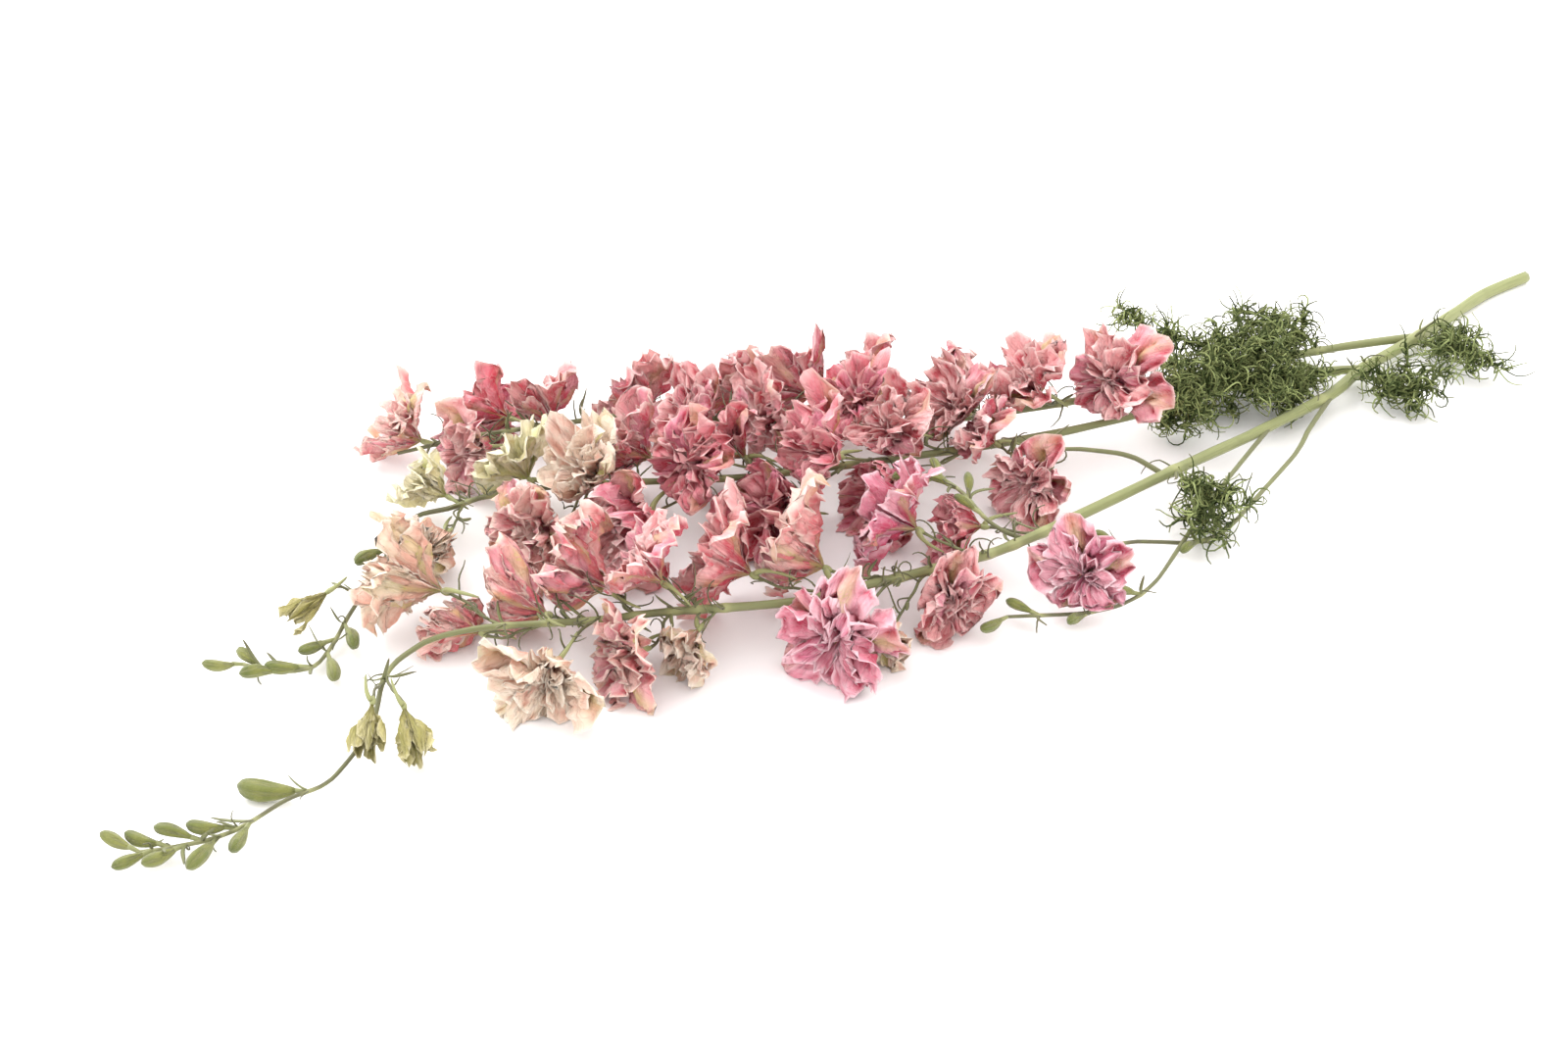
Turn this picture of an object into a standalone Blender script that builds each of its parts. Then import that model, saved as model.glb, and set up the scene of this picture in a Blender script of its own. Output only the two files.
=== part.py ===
"""Delphinium flower spike: one cut and dried larkspur stem with its side branches.

The stem lies on a table, with the cut end at +X and the bud tip at -X, and +Z up.
All lengths in the tables are millimetres, and the finished meshes are in metres.
"""

import math
import random

import bmesh
import bpy
import numpy as np
from mathutils import Matrix, Vector

MM = 0.001
STEM_CUT_RADIUS = 2.7
STEM_SIDES = 8
FLAT_HEIGHT = STEM_CUT_RADIUS * math.cos(math.pi / STEM_SIDES)
FLAT_LENGTH = 16.0
PETAL_THICKNESS = 0.7
CLEARANCE = 0.5
PIECE_GAP = 0.3
RECEPTACLE = 1.6
LARGEST_SAG = 0.35
LARGEST_TURN = math.radians(26)
FLOOR_SOFTNESS = 0.8
FREE_SHARE = 0.68
SHARP_EDGE = math.radians(50)
NAME = "delphinium_flower_spike"

# moves the middle of the whole spike over the origin
SHIFT = Vector((-7.58, -42.86, 0.0))

# points of each stem from its root to its tip: x, y, z, radius
ROUTES = {
    "main": (
        (327, 6, FLAT_HEIGHT, 2.7),
        (319, 6, FLAT_HEIGHT, 2.7),
        (311, 6, FLAT_HEIGHT, 2.7),
        (303, 5.9, FLAT_HEIGHT + 0.02, 2.7),
        (292, 4, FLAT_HEIGHT + 0.15, 2.7),
        (279, 1, 3.0, 2.6),
        (247, -6, 4.2, 2.6),
        (206, -13, 6, 2.5),
        (180, -22, 8, 2.4),
        (134, -28, 10, 2.3),
        (103, -31, 12, 2.2),
        (80, -33, 13, 2.2),
        (34, -39, 16, 2.1),
        (-5, -42, 18, 1.9),
        (-36, -38, 19, 1.8),
        (-67, -31, 19, 1.7),
        (-85, -26, 19, 1.6),
        (-117, -8, 18, 1.5),
        (-142, 4, 17, 1.3),
        (-165, 20, 15, 1.2),
        (-185, 29, 13, 1.1),
        (-200, 27, 12, 1.0),
        (-209, 22, 10, 0.95),
        (-217, 11, 7, 0.9),
        (-226, 3, 5, 0.85),
        (-242, -7, 4, 0.8),
        (-255, -7, 4, 0.75),
        (-270, -11, 4, 0.7),
        (-283, -12, 5, 0.7),
        (-296, -8, 5, 0.65),
        (-303, -5, 5, 0.6),
    ),
    "back": (
        (247, -6, 4.2, 1.9),
        (221, -2, 8, 1.8),
        (174, 6, 12, 1.7),
        (128, 13, 14, 1.6),
        (76, 23, 16, 1.5),
        (28, 39, 17, 1.5),
        (-5, 58, 18, 1.4),
        (-30, 77, 18, 1.3),
        (-66, 107, 17, 1.1),
        (-83, 115, 16, 1.0),
        (-115, 130, 14, 0.9),
        (-134, 137, 12, 0.8),
        (-146, 142, 10, 0.7),
    ),
    "middle": (
        (206, -13, 6, 1.8),
        (180, -5, 9, 1.8),
        (152, -1, 12, 1.7),
        (128, 0, 14, 1.7),
        (93, 2, 15, 1.6),
        (52, 10, 16, 1.6),
        (14, 21, 17, 1.5),
        (-22, 33, 18, 1.4),
        (-56, 47, 18, 1.3),
        (-84, 63, 18, 1.2),
        (-110, 81, 16, 1.1),
        (-134, 91, 15, 1.0),
        (-148, 93, 14, 1.0),
        (-159, 98, 12, 0.9),
        (-170, 93, 10, 0.9),
        (-180, 83, 8, 0.85),
        (-192, 74, 6, 0.8),
        (-202, 66, 5, 0.8),
        (-211, 57, 4, 0.75),
        (-221, 49, 4, 0.7),
        (-229, 50, 4, 0.7),
        (-236, 56, 4, 0.65),
        (-242, 62, 5, 0.6),
    ),
    "side": (
        (80, -33, 13, 1.1),
        (74, -22, 17, 1.0),
        (63, -15, 20, 0.9),
        (52, -8, 21, 0.8),
        (43, -4, 21, 0.75),
        (34, 0, 20, 0.7),
    ),
    "front": (
        (180, -22, 8, 1.1),
        (154, -35, 8, 1.0),
        (140, -43, 7, 1.0),
        (105, -56, 5, 0.9),
        (88, -62, 4, 0.9),
        (78, -64, 4, 0.85),
        (68, -62, 4, 0.85),
        (58, -56, 5, 0.8),
        (47, -51, 6, 0.75),
        (30, -50, 8, 0.7),
        (17, -51, 9, 0.65),
    ),
    "low": (
        (142, -27, 10, 1.0),
        (108, -41, 8, 0.9),
        (74, -57, 7, 0.85),
        (42, -73, 5, 0.8),
        (24, -76, 4, 0.75),
        (8, -72, 4, 0.7),
        (-5, -66, 5, 0.7),
        (-16, -61, 6, 0.6),
    ),
    "spray": (
        (8, -41, 17, 0.9),
        (0, -38, 22, 0.8),
        (-4, -32, 26, 0.75),
        (-3, -20, 28, 0.7),
        (-3, -9, 28, 0.65),
        (-6, -1, 27, 0.6),
    ),
}

# stem, where the stalk leaves it, then the head's place from there: along, to the
# right, and its height over the table; petal length, how open it is, and its colour
BLOOMS = (
    ("main", 342, 29, 22, 31, 31, 1.0, "lilac"),
    ("main", 350, 12, -14, 13, 25, 0.9, "pink"),
    ("main", 376, 34, -24, 18, 29, 1.0, "lilac"),
    ("main", 364, 26, -18, 10, 19, 0.7, "cream"),
    ("main", 376, 32, 20, 26, 34, 0.85, "blush"),
    ("main", 398, 42, 20, 26, 35, 0.9, "pink"),
    ("main", 438, 14, -13, 12, 21, 0.7, "cream"),
    ("main", 455, 21, -15, 14, 27, 0.9, "blush"),
    ("main", 447, 18, 9, 34, 28, 0.9, "pink"),
    ("main", 468, 22, 18, 24, 36, 0.7, "blush"),
    ("main", 484, 24, 13, 15, 32, 0.6, "blush"),
    ("main", 480, 14, -29, 14, 26, 0.8, "cream"),
    ("main", 511, 24, 27, 20, 35, 0.6, "cream"),
    ("main", 496, 31, 11, 10, 26, 0.7, "blush"),
    ("main", 559, 27, -4, 14, 21, 0.20, "green"),
    ("main", 557, 24, -15, 11, 21, 0.22, "green"),
    ("main", 316, 26, 23, 18, 29, 0.9, "rose"),
    ("front", 160, 24, -17, 17, 24, 1.0, "lilac"),
    ("side", 44, 12, -14, 16, 26, 0.9, "pink"),
    ("side", 57, 13, 10, 26, 22, 0.9, "pink"),
    ("middle", 180, 44, -18, 16, 34, 0.9, "rose"),
    ("middle", 190, 26, -3, 33, 27, 0.9, "pink"),
    ("middle", 208, 38, -12, 34, 28, 0.9, "rose"),
    ("middle", 230, 34, -19, 16, 35, 0.9, "rose"),
    ("middle", 248, 26, 12, 27, 26, 0.9, "rose"),
    ("middle", 253, 36, -12, 34, 28, 0.9, "rose"),
    ("middle", 276, 36, -26, 17, 36, 0.9, "pink"),
    ("middle", 288, 24, 13, 26, 28, 0.9, "pink"),
    ("middle", 305, 21, -12, 31, 26, 0.9, "cream"),
    ("middle", 322, 28, -29, 16, 29, 0.85, "blush"),
    ("middle", 329, 22, 12, 22, 26, 0.9, "white"),
    ("middle", 360, 24, 11, 17, 21, 0.6, "white"),
    ("middle", 370, 10, -18, 11, 23, 0.45, "cream"),
    ("middle", 430, 15, 11, 11, 17, 0.25, "green"),
    ("back", 129, 32, -14, 31, 27, 1.0, "pink"),
    ("back", 172, 18, -2, 33, 27, 0.9, "pink"),
    ("back", 200, 18, 15, 22, 26, 0.9, "pink"),
    ("back", 205, 16, -14, 32, 26, 0.9, "pink"),
    ("back", 232, 19, 20, 23, 27, 0.9, "pink"),
    ("back", 236, 20, -7, 34, 27, 0.9, "rose"),
    ("back", 262, 17, 20, 24, 26, 0.9, "pink"),
    ("back", 268, 22, -12, 28, 26, 0.9, "pink"),
    ("back", 278, 25, 26, 19, 27, 0.9, "pink"),
    ("back", 300, 17, -12, 26, 28, 0.9, "pink"),
    ("back", 319, 21, 14, 18, 28, 0.9, "pink"),
    ("back", 357, 17, 11, 20, 25, 0.9, "pink"),
    ("back", 372, 21, 15, 13, 25, 0.9, "rose"),
    ("back", 386, 18, -14, 16, 23, 0.9, "pink"),
    ("back", 408, 20, 9, 15, 26, 0.8, "blush"),
)

TONES = {
    "lilac": (0.80, 0.36, 0.52),
    "pink": (0.80, 0.33, 0.40),
    "rose": (0.76, 0.26, 0.35),
    "blush": (0.86, 0.52, 0.52),
    "cream": (0.80, 0.62, 0.47),
    "white": (0.86, 0.80, 0.62),
    "green": (0.66, 0.62, 0.36),
}
STEM_GREEN = (0.33, 0.38, 0.16)
LEAF_GREEN = (0.13, 0.19, 0.07)

# stem, where the bud's stalk leaves it, side (+ right), turn upwards, length
BUDS = (
    ("main", 612, 1, 0, 19),
    ("main", 632, -1, 10, 12),
    ("main", 637, 1, 25, 12),
    ("main", 643, -1, 0, 13),
    ("main", 648, 1, 30, 12),
    ("main", 653, -1, 20, 12),
    ("main", 658, 1, 10, 12),
    ("main", 663, -1, 15, 11),
    ("main", 667, 1, 30, 11),
    ("middle", 396, -1, 35, 14),
    ("middle", 406, 1, 30, 13),
    ("middle", 416, -1, 10, 12),
    ("middle", 446, -1, 20, 13),
    ("middle", 454, 1, 30, 12),
    ("middle", 461, -1, 5, 13),
    ("middle", 470, 1, 20, 12),
    ("middle", 479, -1, 30, 12),
    ("middle", 487, 1, 0, 11),
    ("middle", 494, -1, 20, 11),
    ("back", 398, 1, 30, 9),
    ("front", 118, -1, 20, 10),
    ("front", 148, 1, 50, 9),
    ("low", 120, 1, 40, 11),
    ("low", 142, -1, 20, 10),
    ("low", 160, 1, 20, 10),
    ("low", 177, -1, 5, 11),
    ("spray", 20, -1, 30, 9),
    ("spray", 28, 1, 40, 9),
    ("spray", 36, -1, 20, 9),
    ("spray", 43, 1, 30, 9),
    ("spray", 50, -1, 10, 10),
)

# stem, where the leaf leaves it, side (+ right), rise, reach along the stem and out
FRONDS = (
    ("main", 86, -1, 0.2, 2, 34),
    ("main", 128, -1, 0.0, 6, 28),
    ("main", 160, 1, 0.2, 30, 22),
    ("main", 246, -1, -0.2, 8, 28),
    ("back", 52, 1, 0.4, 26, 26),
    ("back", 92, 1, 0.3, 26, 24),
    ("back", 66, -1, 0.9, 44, 10),
    ("middle", 62, 1, -0.1, 34, 14),
    ("middle", 88, -1, 0.4, 34, 18),
    ("middle", 30, -1, 0.3, 34, 14),
)
NEEDLES_PER_FROND = 8

# rim of a petal as (across, along), for a large petal and for a small one
PETAL_RIMS = (
    ((1.0, 0.70), (0.6, 1.0), (-0.1, 0.90), (-0.8, 0.92)),
    ((1.0, 0.80), (0.2, 1.0), (-0.9, 0.86)),
)
LARGE_PETAL = 27
NOTCH_ALONG = 0.26
MIDRIB = (0.0, 0.58)


def remove_all_objects():
    """Empty the scene that the script starts in."""
    for leftover in list(bpy.data.objects):
        bpy.data.objects.remove(leftover, do_unlink=True)


class Route:
    """A smooth stem through its points, read by length along it."""

    def __init__(self, points, lead=0.0):
        self.lead = lead
        rows = [np.array(row, float) for row in points]
        self.rows = []
        for i in range(len(rows) - 1):
            before, start = rows[max(i - 1, 0)], rows[i]
            end, after = rows[i + 1], rows[min(i + 2, len(rows) - 1)]
            for step in range(16):
                t = step / 16
                self.rows.append(
                    0.5
                    * (
                        2 * start
                        + (end - before) * t
                        + (2 * before - 5 * start + 4 * end - after) * t**2
                        + (3 * start - before - 3 * end + after) * t**3
                    )
                )
        self.rows.append(rows[-1])
        self.rows = np.array(self.rows)
        steps = np.linalg.norm(np.diff(self.rows[:, :3], axis=0), axis=1)
        self.lengths = np.concatenate([[0.0], np.cumsum(steps)])
        self.length = self.lengths[-1]
        self.stations = self.rings()

    def at(self, s):
        """Point and radius at the length s."""
        row = [np.interp(s, self.lengths, self.rows[:, k]) for k in range(4)]
        return np.array(row[:3]), row[3]

    def core(self, s):
        """Point at the length s on the middle line of the tube between its rings."""
        knots = np.array([self.at(station)[0] for station in self.stations])
        return np.array([np.interp(s, self.stations, knots[:, k]) for k in range(3)])

    def heading(self, s):
        """Direction of growth at the length s."""
        low, high = max(s - 1.5, 0), min(s + 1.5, self.length)
        step = self.at(high)[0] - self.at(low)[0]
        return step / np.linalg.norm(step)

    def right(self, s):
        """Level direction to the right of the growth."""
        ahead = self.heading(s)
        side = np.array((ahead[1], -ahead[0], 0.0))
        return side / np.linalg.norm(side)

    def rings(self):
        """Lengths at which a tube needs a ring: closer where the stem turns."""
        stations = [0.0, self.lead] if self.lead else [0.0]
        for before, s in zip(self.lengths[1:-1], self.lengths[2:]):
            if before <= stations[-1]:
                continue
            step = s - stations[-1]
            ahead, last = self.heading(s), self.heading(stations[-1] + 0.01)
            turn = math.acos(max(-1.0, min(1.0, float(ahead @ last))))
            if step * turn / 8 > LARGEST_SAG or turn > LARGEST_TURN:
                stations.append(float(before))
        if self.length - stations[-1] < 3 and len(stations) > 1:
            stations.pop()
        return stations + [self.length]


def unit(vector):
    """The same direction at length 1."""
    return vector / np.linalg.norm(vector)


def bezier(a, b, c, d, steps):
    """Points of a cubic curve."""
    found = []
    for i in range(steps + 1):
        t = i / steps
        found.append(
            a * (1 - t) ** 3
            + b * 3 * t * (1 - t) ** 2
            + c * 3 * t**2 * (1 - t)
            + d * t**3
        )
    return found


def profile(sides):
    """Closed flat polygon that a tube is swept with, one side facing down."""
    name = f"section_{sides}"
    if name in bpy.data.objects:
        return bpy.data.objects[name]
    curve = bpy.data.curves.new(name, "CURVE")
    curve.dimensions = "2D"
    spline = curve.splines.new("POLY")
    spline.points.add(sides - 1)
    spline.use_cyclic_u = True
    for i, point in enumerate(spline.points):
        angle = -math.pi / 2 + (i + 0.5) * 2 * math.pi / sides
        point.co = (math.cos(angle), math.sin(angle), 0, 1)
    section = bpy.data.objects.new(name, curve)
    section.hide_render = True
    section.display_type = "WIRE"
    bpy.context.scene.collection.objects.link(section)
    return section


def solid(name, mesh):
    """A linked object for the mesh, with its faces pointing out."""
    work = bmesh.new()
    work.from_mesh(mesh)
    bmesh.ops.remove_doubles(work, verts=work.verts, dist=0.00005)
    bmesh.ops.triangulate(work, faces=work.faces)
    bmesh.ops.recalc_face_normals(work, faces=work.faces)
    work.to_mesh(mesh)
    work.free()
    made = bpy.data.objects.new(name, mesh)
    bpy.context.scene.collection.objects.link(made)
    return made


def tube(name, points, radii, sides, level=False):
    """A tapering tube with filled ends, as a mesh."""
    curve = bpy.data.curves.new(name, "CURVE")
    curve.dimensions = "3D"
    curve.twist_mode = "Z_UP" if level else "MINIMUM"
    curve.bevel_mode = "OBJECT"
    curve.bevel_object = profile(sides)
    curve.use_fill_caps = True
    spline = curve.splines.new("POLY")
    spline.points.add(len(points) - 1)
    for knot, point, radius in zip(spline.points, points, radii):
        knot.co = (*point, 1)
        knot.radius = radius
    guide = bpy.data.objects.new(name + "_guide", curve)
    bpy.context.scene.collection.objects.link(guide)
    bpy.context.view_layer.update()
    graph = bpy.context.evaluated_depsgraph_get()
    mesh = bpy.data.meshes.new_from_object(guide.evaluated_get(graph))
    bpy.data.objects.remove(guide, do_unlink=True)
    return solid(name, mesh)


def joined(name, base, others):
    """Join the others to the base with one Boolean union, and remove them."""
    helpers = bpy.data.collections.new(name + "_helpers")
    bpy.context.scene.collection.children.link(helpers)
    for other in others:
        bpy.context.scene.collection.objects.unlink(other)
        helpers.objects.link(other)
    union = base.modifiers.new("join", "BOOLEAN")
    union.operation = "UNION"
    union.operand_type = "COLLECTION"
    union.collection = helpers
    union.solver = "MANIFOLD"
    bpy.context.view_layer.update()
    graph = bpy.context.evaluated_depsgraph_get()
    mesh = bpy.data.meshes.new_from_object(base.evaluated_get(graph))
    for other in others + [base]:
        bpy.data.objects.remove(other, do_unlink=True)
    bpy.data.collections.remove(helpers)
    return solid(name, mesh)


def finish(made, colour, roughness, parent):
    """Scale from millimetres, set the origin, and give the piece its material."""
    made.data.transform(Matrix.Translation(SHIFT))
    made.data.transform(Matrix.Scale(MM, 4))
    centre = sum((Vector(corner) for corner in made.bound_box), Vector()) / 8
    made.data.transform(Matrix.Translation(-centre))
    made.location = centre
    made.parent = parent
    name = "finish_" + "_".join(f"{round(part * 100):02d}" for part in colour)
    material = bpy.data.materials.get(name)
    if material is None:
        material = bpy.data.materials.new(name)
        material.use_nodes = True
        shader = material.node_tree.nodes["Principled BSDF"]
        shader.inputs["Base Color"].default_value = (*colour, 1)
        shader.inputs["Roughness"].default_value = roughness
        shader.inputs["Metallic"].default_value = 0.0
    made.data.materials.clear()
    made.data.materials.append(material)
    made.data.shade_smooth()
    made.data.set_sharp_from_angle(angle=SHARP_EDGE)
    return made


class Bloom:
    """One flower head: where it sits, where it faces and the room that it has."""

    def __init__(self, number, row, routes):
        stem, root, along, out, height, length, openness, tone = row
        self.number = number
        self.length = length
        self.openness = openness
        self.tone = tone
        route = routes[stem]
        start = route.core(root)
        self.centre = self.head_place(route, root + along, out, height)
        reach = unit(self.centre - start)
        rng = random.Random(1000 + number)
        sway = np.array([rng.uniform(-0.4, 0.4) for _ in range(3)])
        sway[2] += 0.25
        self.facing = unit(reach + sway * openness)
        self.base = self.centre - self.facing * 0.42 * length
        self.reach = 0.5 * length * (0.55 + 0.45 * openness) + 0.3 * length
        self.stalk = self.stalk_line(start, route.heading(root) + reach)
        steps = len(self.stalk) - 1
        self.stalk_radii = [0.35] + [0.75 - 0.1 * i / steps for i in range(steps)]
        self.planes = []

    def head_place(self, route, s, out, height):
        """Middle of the head: beside the stem at the length s, or past its end."""
        last = min(s, route.length)
        beside = route.at(last)[0]
        past = route.heading(route.length) * max(s - route.length, 0)
        place = beside + past + route.right(last) * out
        place[2] = height
        return place

    def stalk_line(self, start, leave):
        """The stalk's bent line, from inside the stem to just short of the heart."""
        end = self.base - self.facing * (RECEPTACLE + PIECE_GAP)
        third = np.linalg.norm(end - start) * 0.35
        return bezier(
            start, start + unit(leave) * third, end - self.facing * third, end, 3
        )

    def bound_by(self, others, samples, sample_radii, owners):
        """Find the flat bounds of the room that the petals have among neighbours."""
        for other in others:
            away = other.centre - self.centre
            distance = np.linalg.norm(away)
            if other is self or distance > self.reach * 2 + other.reach * 2:
                continue
            share = self.reach / (self.reach + other.reach)
            limit = distance * share - PETAL_THICKNESS / 2 - CLEARANCE / 2
            self.planes.append((away / distance, limit))
        offsets = samples - self.centre
        distances = np.linalg.norm(offsets, axis=1)
        mine = owners == self.number
        open_ones = (distances < self.length * 1.5) & ~mine
        margin = PETAL_THICKNESS / 2 + CLEARANCE
        for normal, limit in self.planes:
            open_ones &= ~(offsets @ normal - sample_radii - margin >= limit)
        while open_ones.any():
            score = np.where(open_ones, distances - sample_radii, np.inf)
            nearest = int(np.argmin(score))
            normal = offsets[nearest] / distances[nearest]
            limit = distances[nearest] - sample_radii[nearest] - margin
            self.planes.append((normal, limit))
            open_ones &= ~(offsets @ normal - sample_radii - margin >= limit - 1e-6)

    def fitted(self, point):
        """Press a point softly back into the room, and up from the table."""
        point = point.copy()
        level = PETAL_THICKNESS / 2 + 0.01
        lift = (point[2] - level) / FLOOR_SOFTNESS
        if lift < 30:
            point[2] = level + FLOOR_SOFTNESS * math.log1p(math.exp(lift))
        offset = point - self.centre
        total = 0.0
        for normal, limit in self.planes:
            total += max(float(offset @ normal) / max(limit, 0.5), 0.0) ** 8
        share = total**0.125
        if share <= FREE_SHARE:
            return point
        rest = 1 - FREE_SHARE
        pressed = FREE_SHARE + rest * (1 - math.exp(-(share - FREE_SHARE) / rest))
        return self.centre + offset * (pressed / share)

    def rings(self):
        """The petals of each ring, outer first: turn, length, half angle and curl."""
        rng = random.Random(2000 + self.number)
        counts = (5, 3) if self.length >= 15 else (4, 3)
        rings = []
        first = rng.uniform(0, math.tau)
        for ring, count in enumerate(counts):
            sector = math.pi / count
            rows = []
            for i in range(count):
                scale = (1.0, 0.8)[ring] * rng.uniform(0.88, 1.08)
                start = math.radians((40, 12)[ring] * self.openness + 7)
                end = math.radians(
                    (88, 50)[ring] * self.openness + 14 + rng.uniform(-14, 14)
                )
                place = 2 * i + rng.uniform(-0.12, 0.12)
                rows.append(
                    {
                        "turn": first + ring * 0.7 + place * sector,
                        "length": self.length * scale,
                        "half": sector * rng.uniform(0.78, 0.9),
                        "start": start,
                        "end": end,
                        "phase": rng.uniform(0, math.tau),
                        "wave": rng.uniform(0, math.tau),
                    }
                )
            rings.append(rows)
        return rings

    def surface(self, petal, across, along):
        """The point of a petal's middle surface at (across, along)."""
        side = unit(np.cross(self.facing, (0.31, 0.17, 0.94)))
        up = np.cross(self.facing, side)
        angle = petal["turn"] + across * petal["half"]
        radial = side * math.cos(angle) + up * math.sin(angle)
        start, bend = petal["start"], petal["end"] - petal["start"]
        tilt = start + bend * along
        out = petal["length"] / bend * (math.cos(start) - math.cos(tilt))
        rise = petal["length"] / bend * (math.sin(tilt) - math.sin(start))
        inward = self.facing * math.sin(tilt) - radial * math.cos(tilt)
        cup = 0.10 * petal["length"] * across * across * along
        crumple = along * petal["length"] * (
            0.07 * math.sin(2.6 * across + 4.0 * along + petal["phase"])
            + 0.04 * math.sin(5.0 * across - 5.0 * along + petal["wave"])
        )
        point = (
            self.base
            + self.facing * (rise + 0.8)
            + radial * (out + 0.2)
            + inward * (cup + crumple)
        )
        fitted = self.fitted(point)
        share = min(along / 0.25, 1.0)
        return point * (1 - share) + fitted * share


def petal_ring(name, bloom, ring, petals, rng):
    """One ring of petals, cut from a single crumpled sheet and thickened.

    The sheet's heart is drawn out backwards: the outer ring's into the small cone
    that meets the stalk, and the inner ring's into the heart of the outer one.
    """
    work = bmesh.new()
    middle = bloom.base + bloom.facing * (0.3 + 1.7 * ring)
    heart = work.verts.new(middle)
    notches = []
    for petal, following in zip(petals, petals[1:] + petals[:1]):
        gap = (following["turn"] - petal["turn"]) % math.tau
        between = dict(petal, half=gap / 2)
        notches.append(work.verts.new(bloom.surface(between, 1.0, NOTCH_ALONG)))
    for i, petal in enumerate(petals):
        rib = work.verts.new(bloom.surface(petal, *MIDRIB))
        rim = [notches[i]]
        shape = 0 if ring == 0 and bloom.length >= LARGE_PETAL else 1
        for across, along in PETAL_RIMS[shape]:
            along += rng.uniform(-0.05, 0.05)
            rim.append(work.verts.new(bloom.surface(petal, across, along)))
        rim.append(notches[i - 1])
        for one, two in zip(rim, rim[1:]):
            work.faces.new((rib, one, two))
        work.faces.new((heart, rim[0], rib))
        work.faces.new((heart, rib, rim[-1]))
    mesh = bpy.data.meshes.new(name)
    work.to_mesh(mesh)
    work.free()
    sheet = bpy.data.objects.new(name, mesh)
    bpy.context.scene.collection.objects.link(sheet)
    thicken = sheet.modifiers.new("thickness", "SOLIDIFY")
    thicken.thickness = PETAL_THICKNESS
    thicken.offset = 0
    thicken.use_even_offset = False
    bpy.context.view_layer.update()
    graph = bpy.context.evaluated_depsgraph_get()
    thick = bpy.data.meshes.new_from_object(sheet.evaluated_get(graph))
    bpy.data.objects.remove(sheet, do_unlink=True)
    axis = Vector(bloom.facing)
    near = sorted(thick.vertices, key=lambda v: (v.co - Vector(middle)).length)[:2]
    back = min(near, key=lambda v: v.co.dot(axis))
    back.co = Vector(bloom.base) - axis * (RECEPTACLE, 0.1)[ring]
    return solid(name, thick)


def make_bloom(bloom, parent):
    """Both rings of petals of one flower, joined at the heart."""
    name = f"bloom_{bloom.number + 1:02d}"
    rng = random.Random(3000 + bloom.number)
    outer, inner = (
        petal_ring(f"{name}_ring_{ring}", bloom, ring, petals, rng)
        for ring, petals in enumerate(bloom.rings())
    )
    made = joined(name, outer, [inner])
    return finish(made, TONES[bloom.tone], 0.75, parent)


def bud_place(row, routes):
    """Root, head and direction of a bud on its short stalk."""
    stem, root, side, rise, length = row
    route = routes[stem]
    root = min(root, route.length - 0.5)
    start = route.core(root)
    lift = math.radians(rise)
    direction = unit(
        route.heading(root) * 0.85
        + route.right(root) * side * 0.55 * math.cos(lift)
        + np.array((0, 0, 1.0)) * 0.55 * math.sin(lift)
    )
    stalk = 3.5 if length < 12 else 4.5
    return start, start + direction * stalk, direction, length


def make_bud(name, row, routes):
    """A bud with its stalk: a club with its fat end out, on a short tube."""
    start, head, direction, length = bud_place(row, routes)
    work = bmesh.new()
    bmesh.ops.create_uvsphere(work, u_segments=5, v_segments=3, radius=1)
    wide = length * 0.19
    for vertex in work.verts:
        narrow = 1 + 0.4 * vertex.co.z
        vertex.co.x *= wide * narrow
        vertex.co.y *= wide * narrow
        vertex.co.z *= length / 2
    turn = Vector((0, 0, 1)).rotation_difference(Vector(direction)).to_matrix().to_4x4()
    centre = head + direction * (length / 2 - 1.0)
    low = wide * 1.1 + 0.2
    if centre[2] < low:
        centre[2] = low
    place = Matrix.Translation(Vector(centre))
    bmesh.ops.transform(work, matrix=place @ turn, verts=work.verts)
    mesh = bpy.data.meshes.new(name)
    work.to_mesh(mesh)
    work.free()
    egg = solid(name, mesh)
    inside = centre - direction * (length / 2 - 2.0)
    stalk = tube(name + "_stalk", [start, inside], [0.5, 0.6], 3)
    return [egg, stalk]


def make_stem(routes, blooms, parent):
    """The main stem, its branches, the flower stalks and the green buds, as one."""
    sides = {"main": STEM_SIDES, "back": 6, "middle": 6}
    pieces = []
    for name, route in routes.items():
        points = [route.at(s)[0] for s in route.stations]
        radii = [route.at(s)[1] for s in route.stations]
        count = sides.get(name, 4)
        pieces.append(tube("branch_" + name, points, radii, count, level=True))
    for bloom in blooms:
        pieces.append(
            tube(f"stalk_{bloom.number}", bloom.stalk, bloom.stalk_radii, 3)
        )
    for i, row in enumerate(BUDS):
        pieces += make_bud(f"bud_{i}", row, routes)
    made = joined("stem", pieces[0], pieces[1:])
    return finish(made, STEM_GREEN, 0.7, parent)


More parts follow.
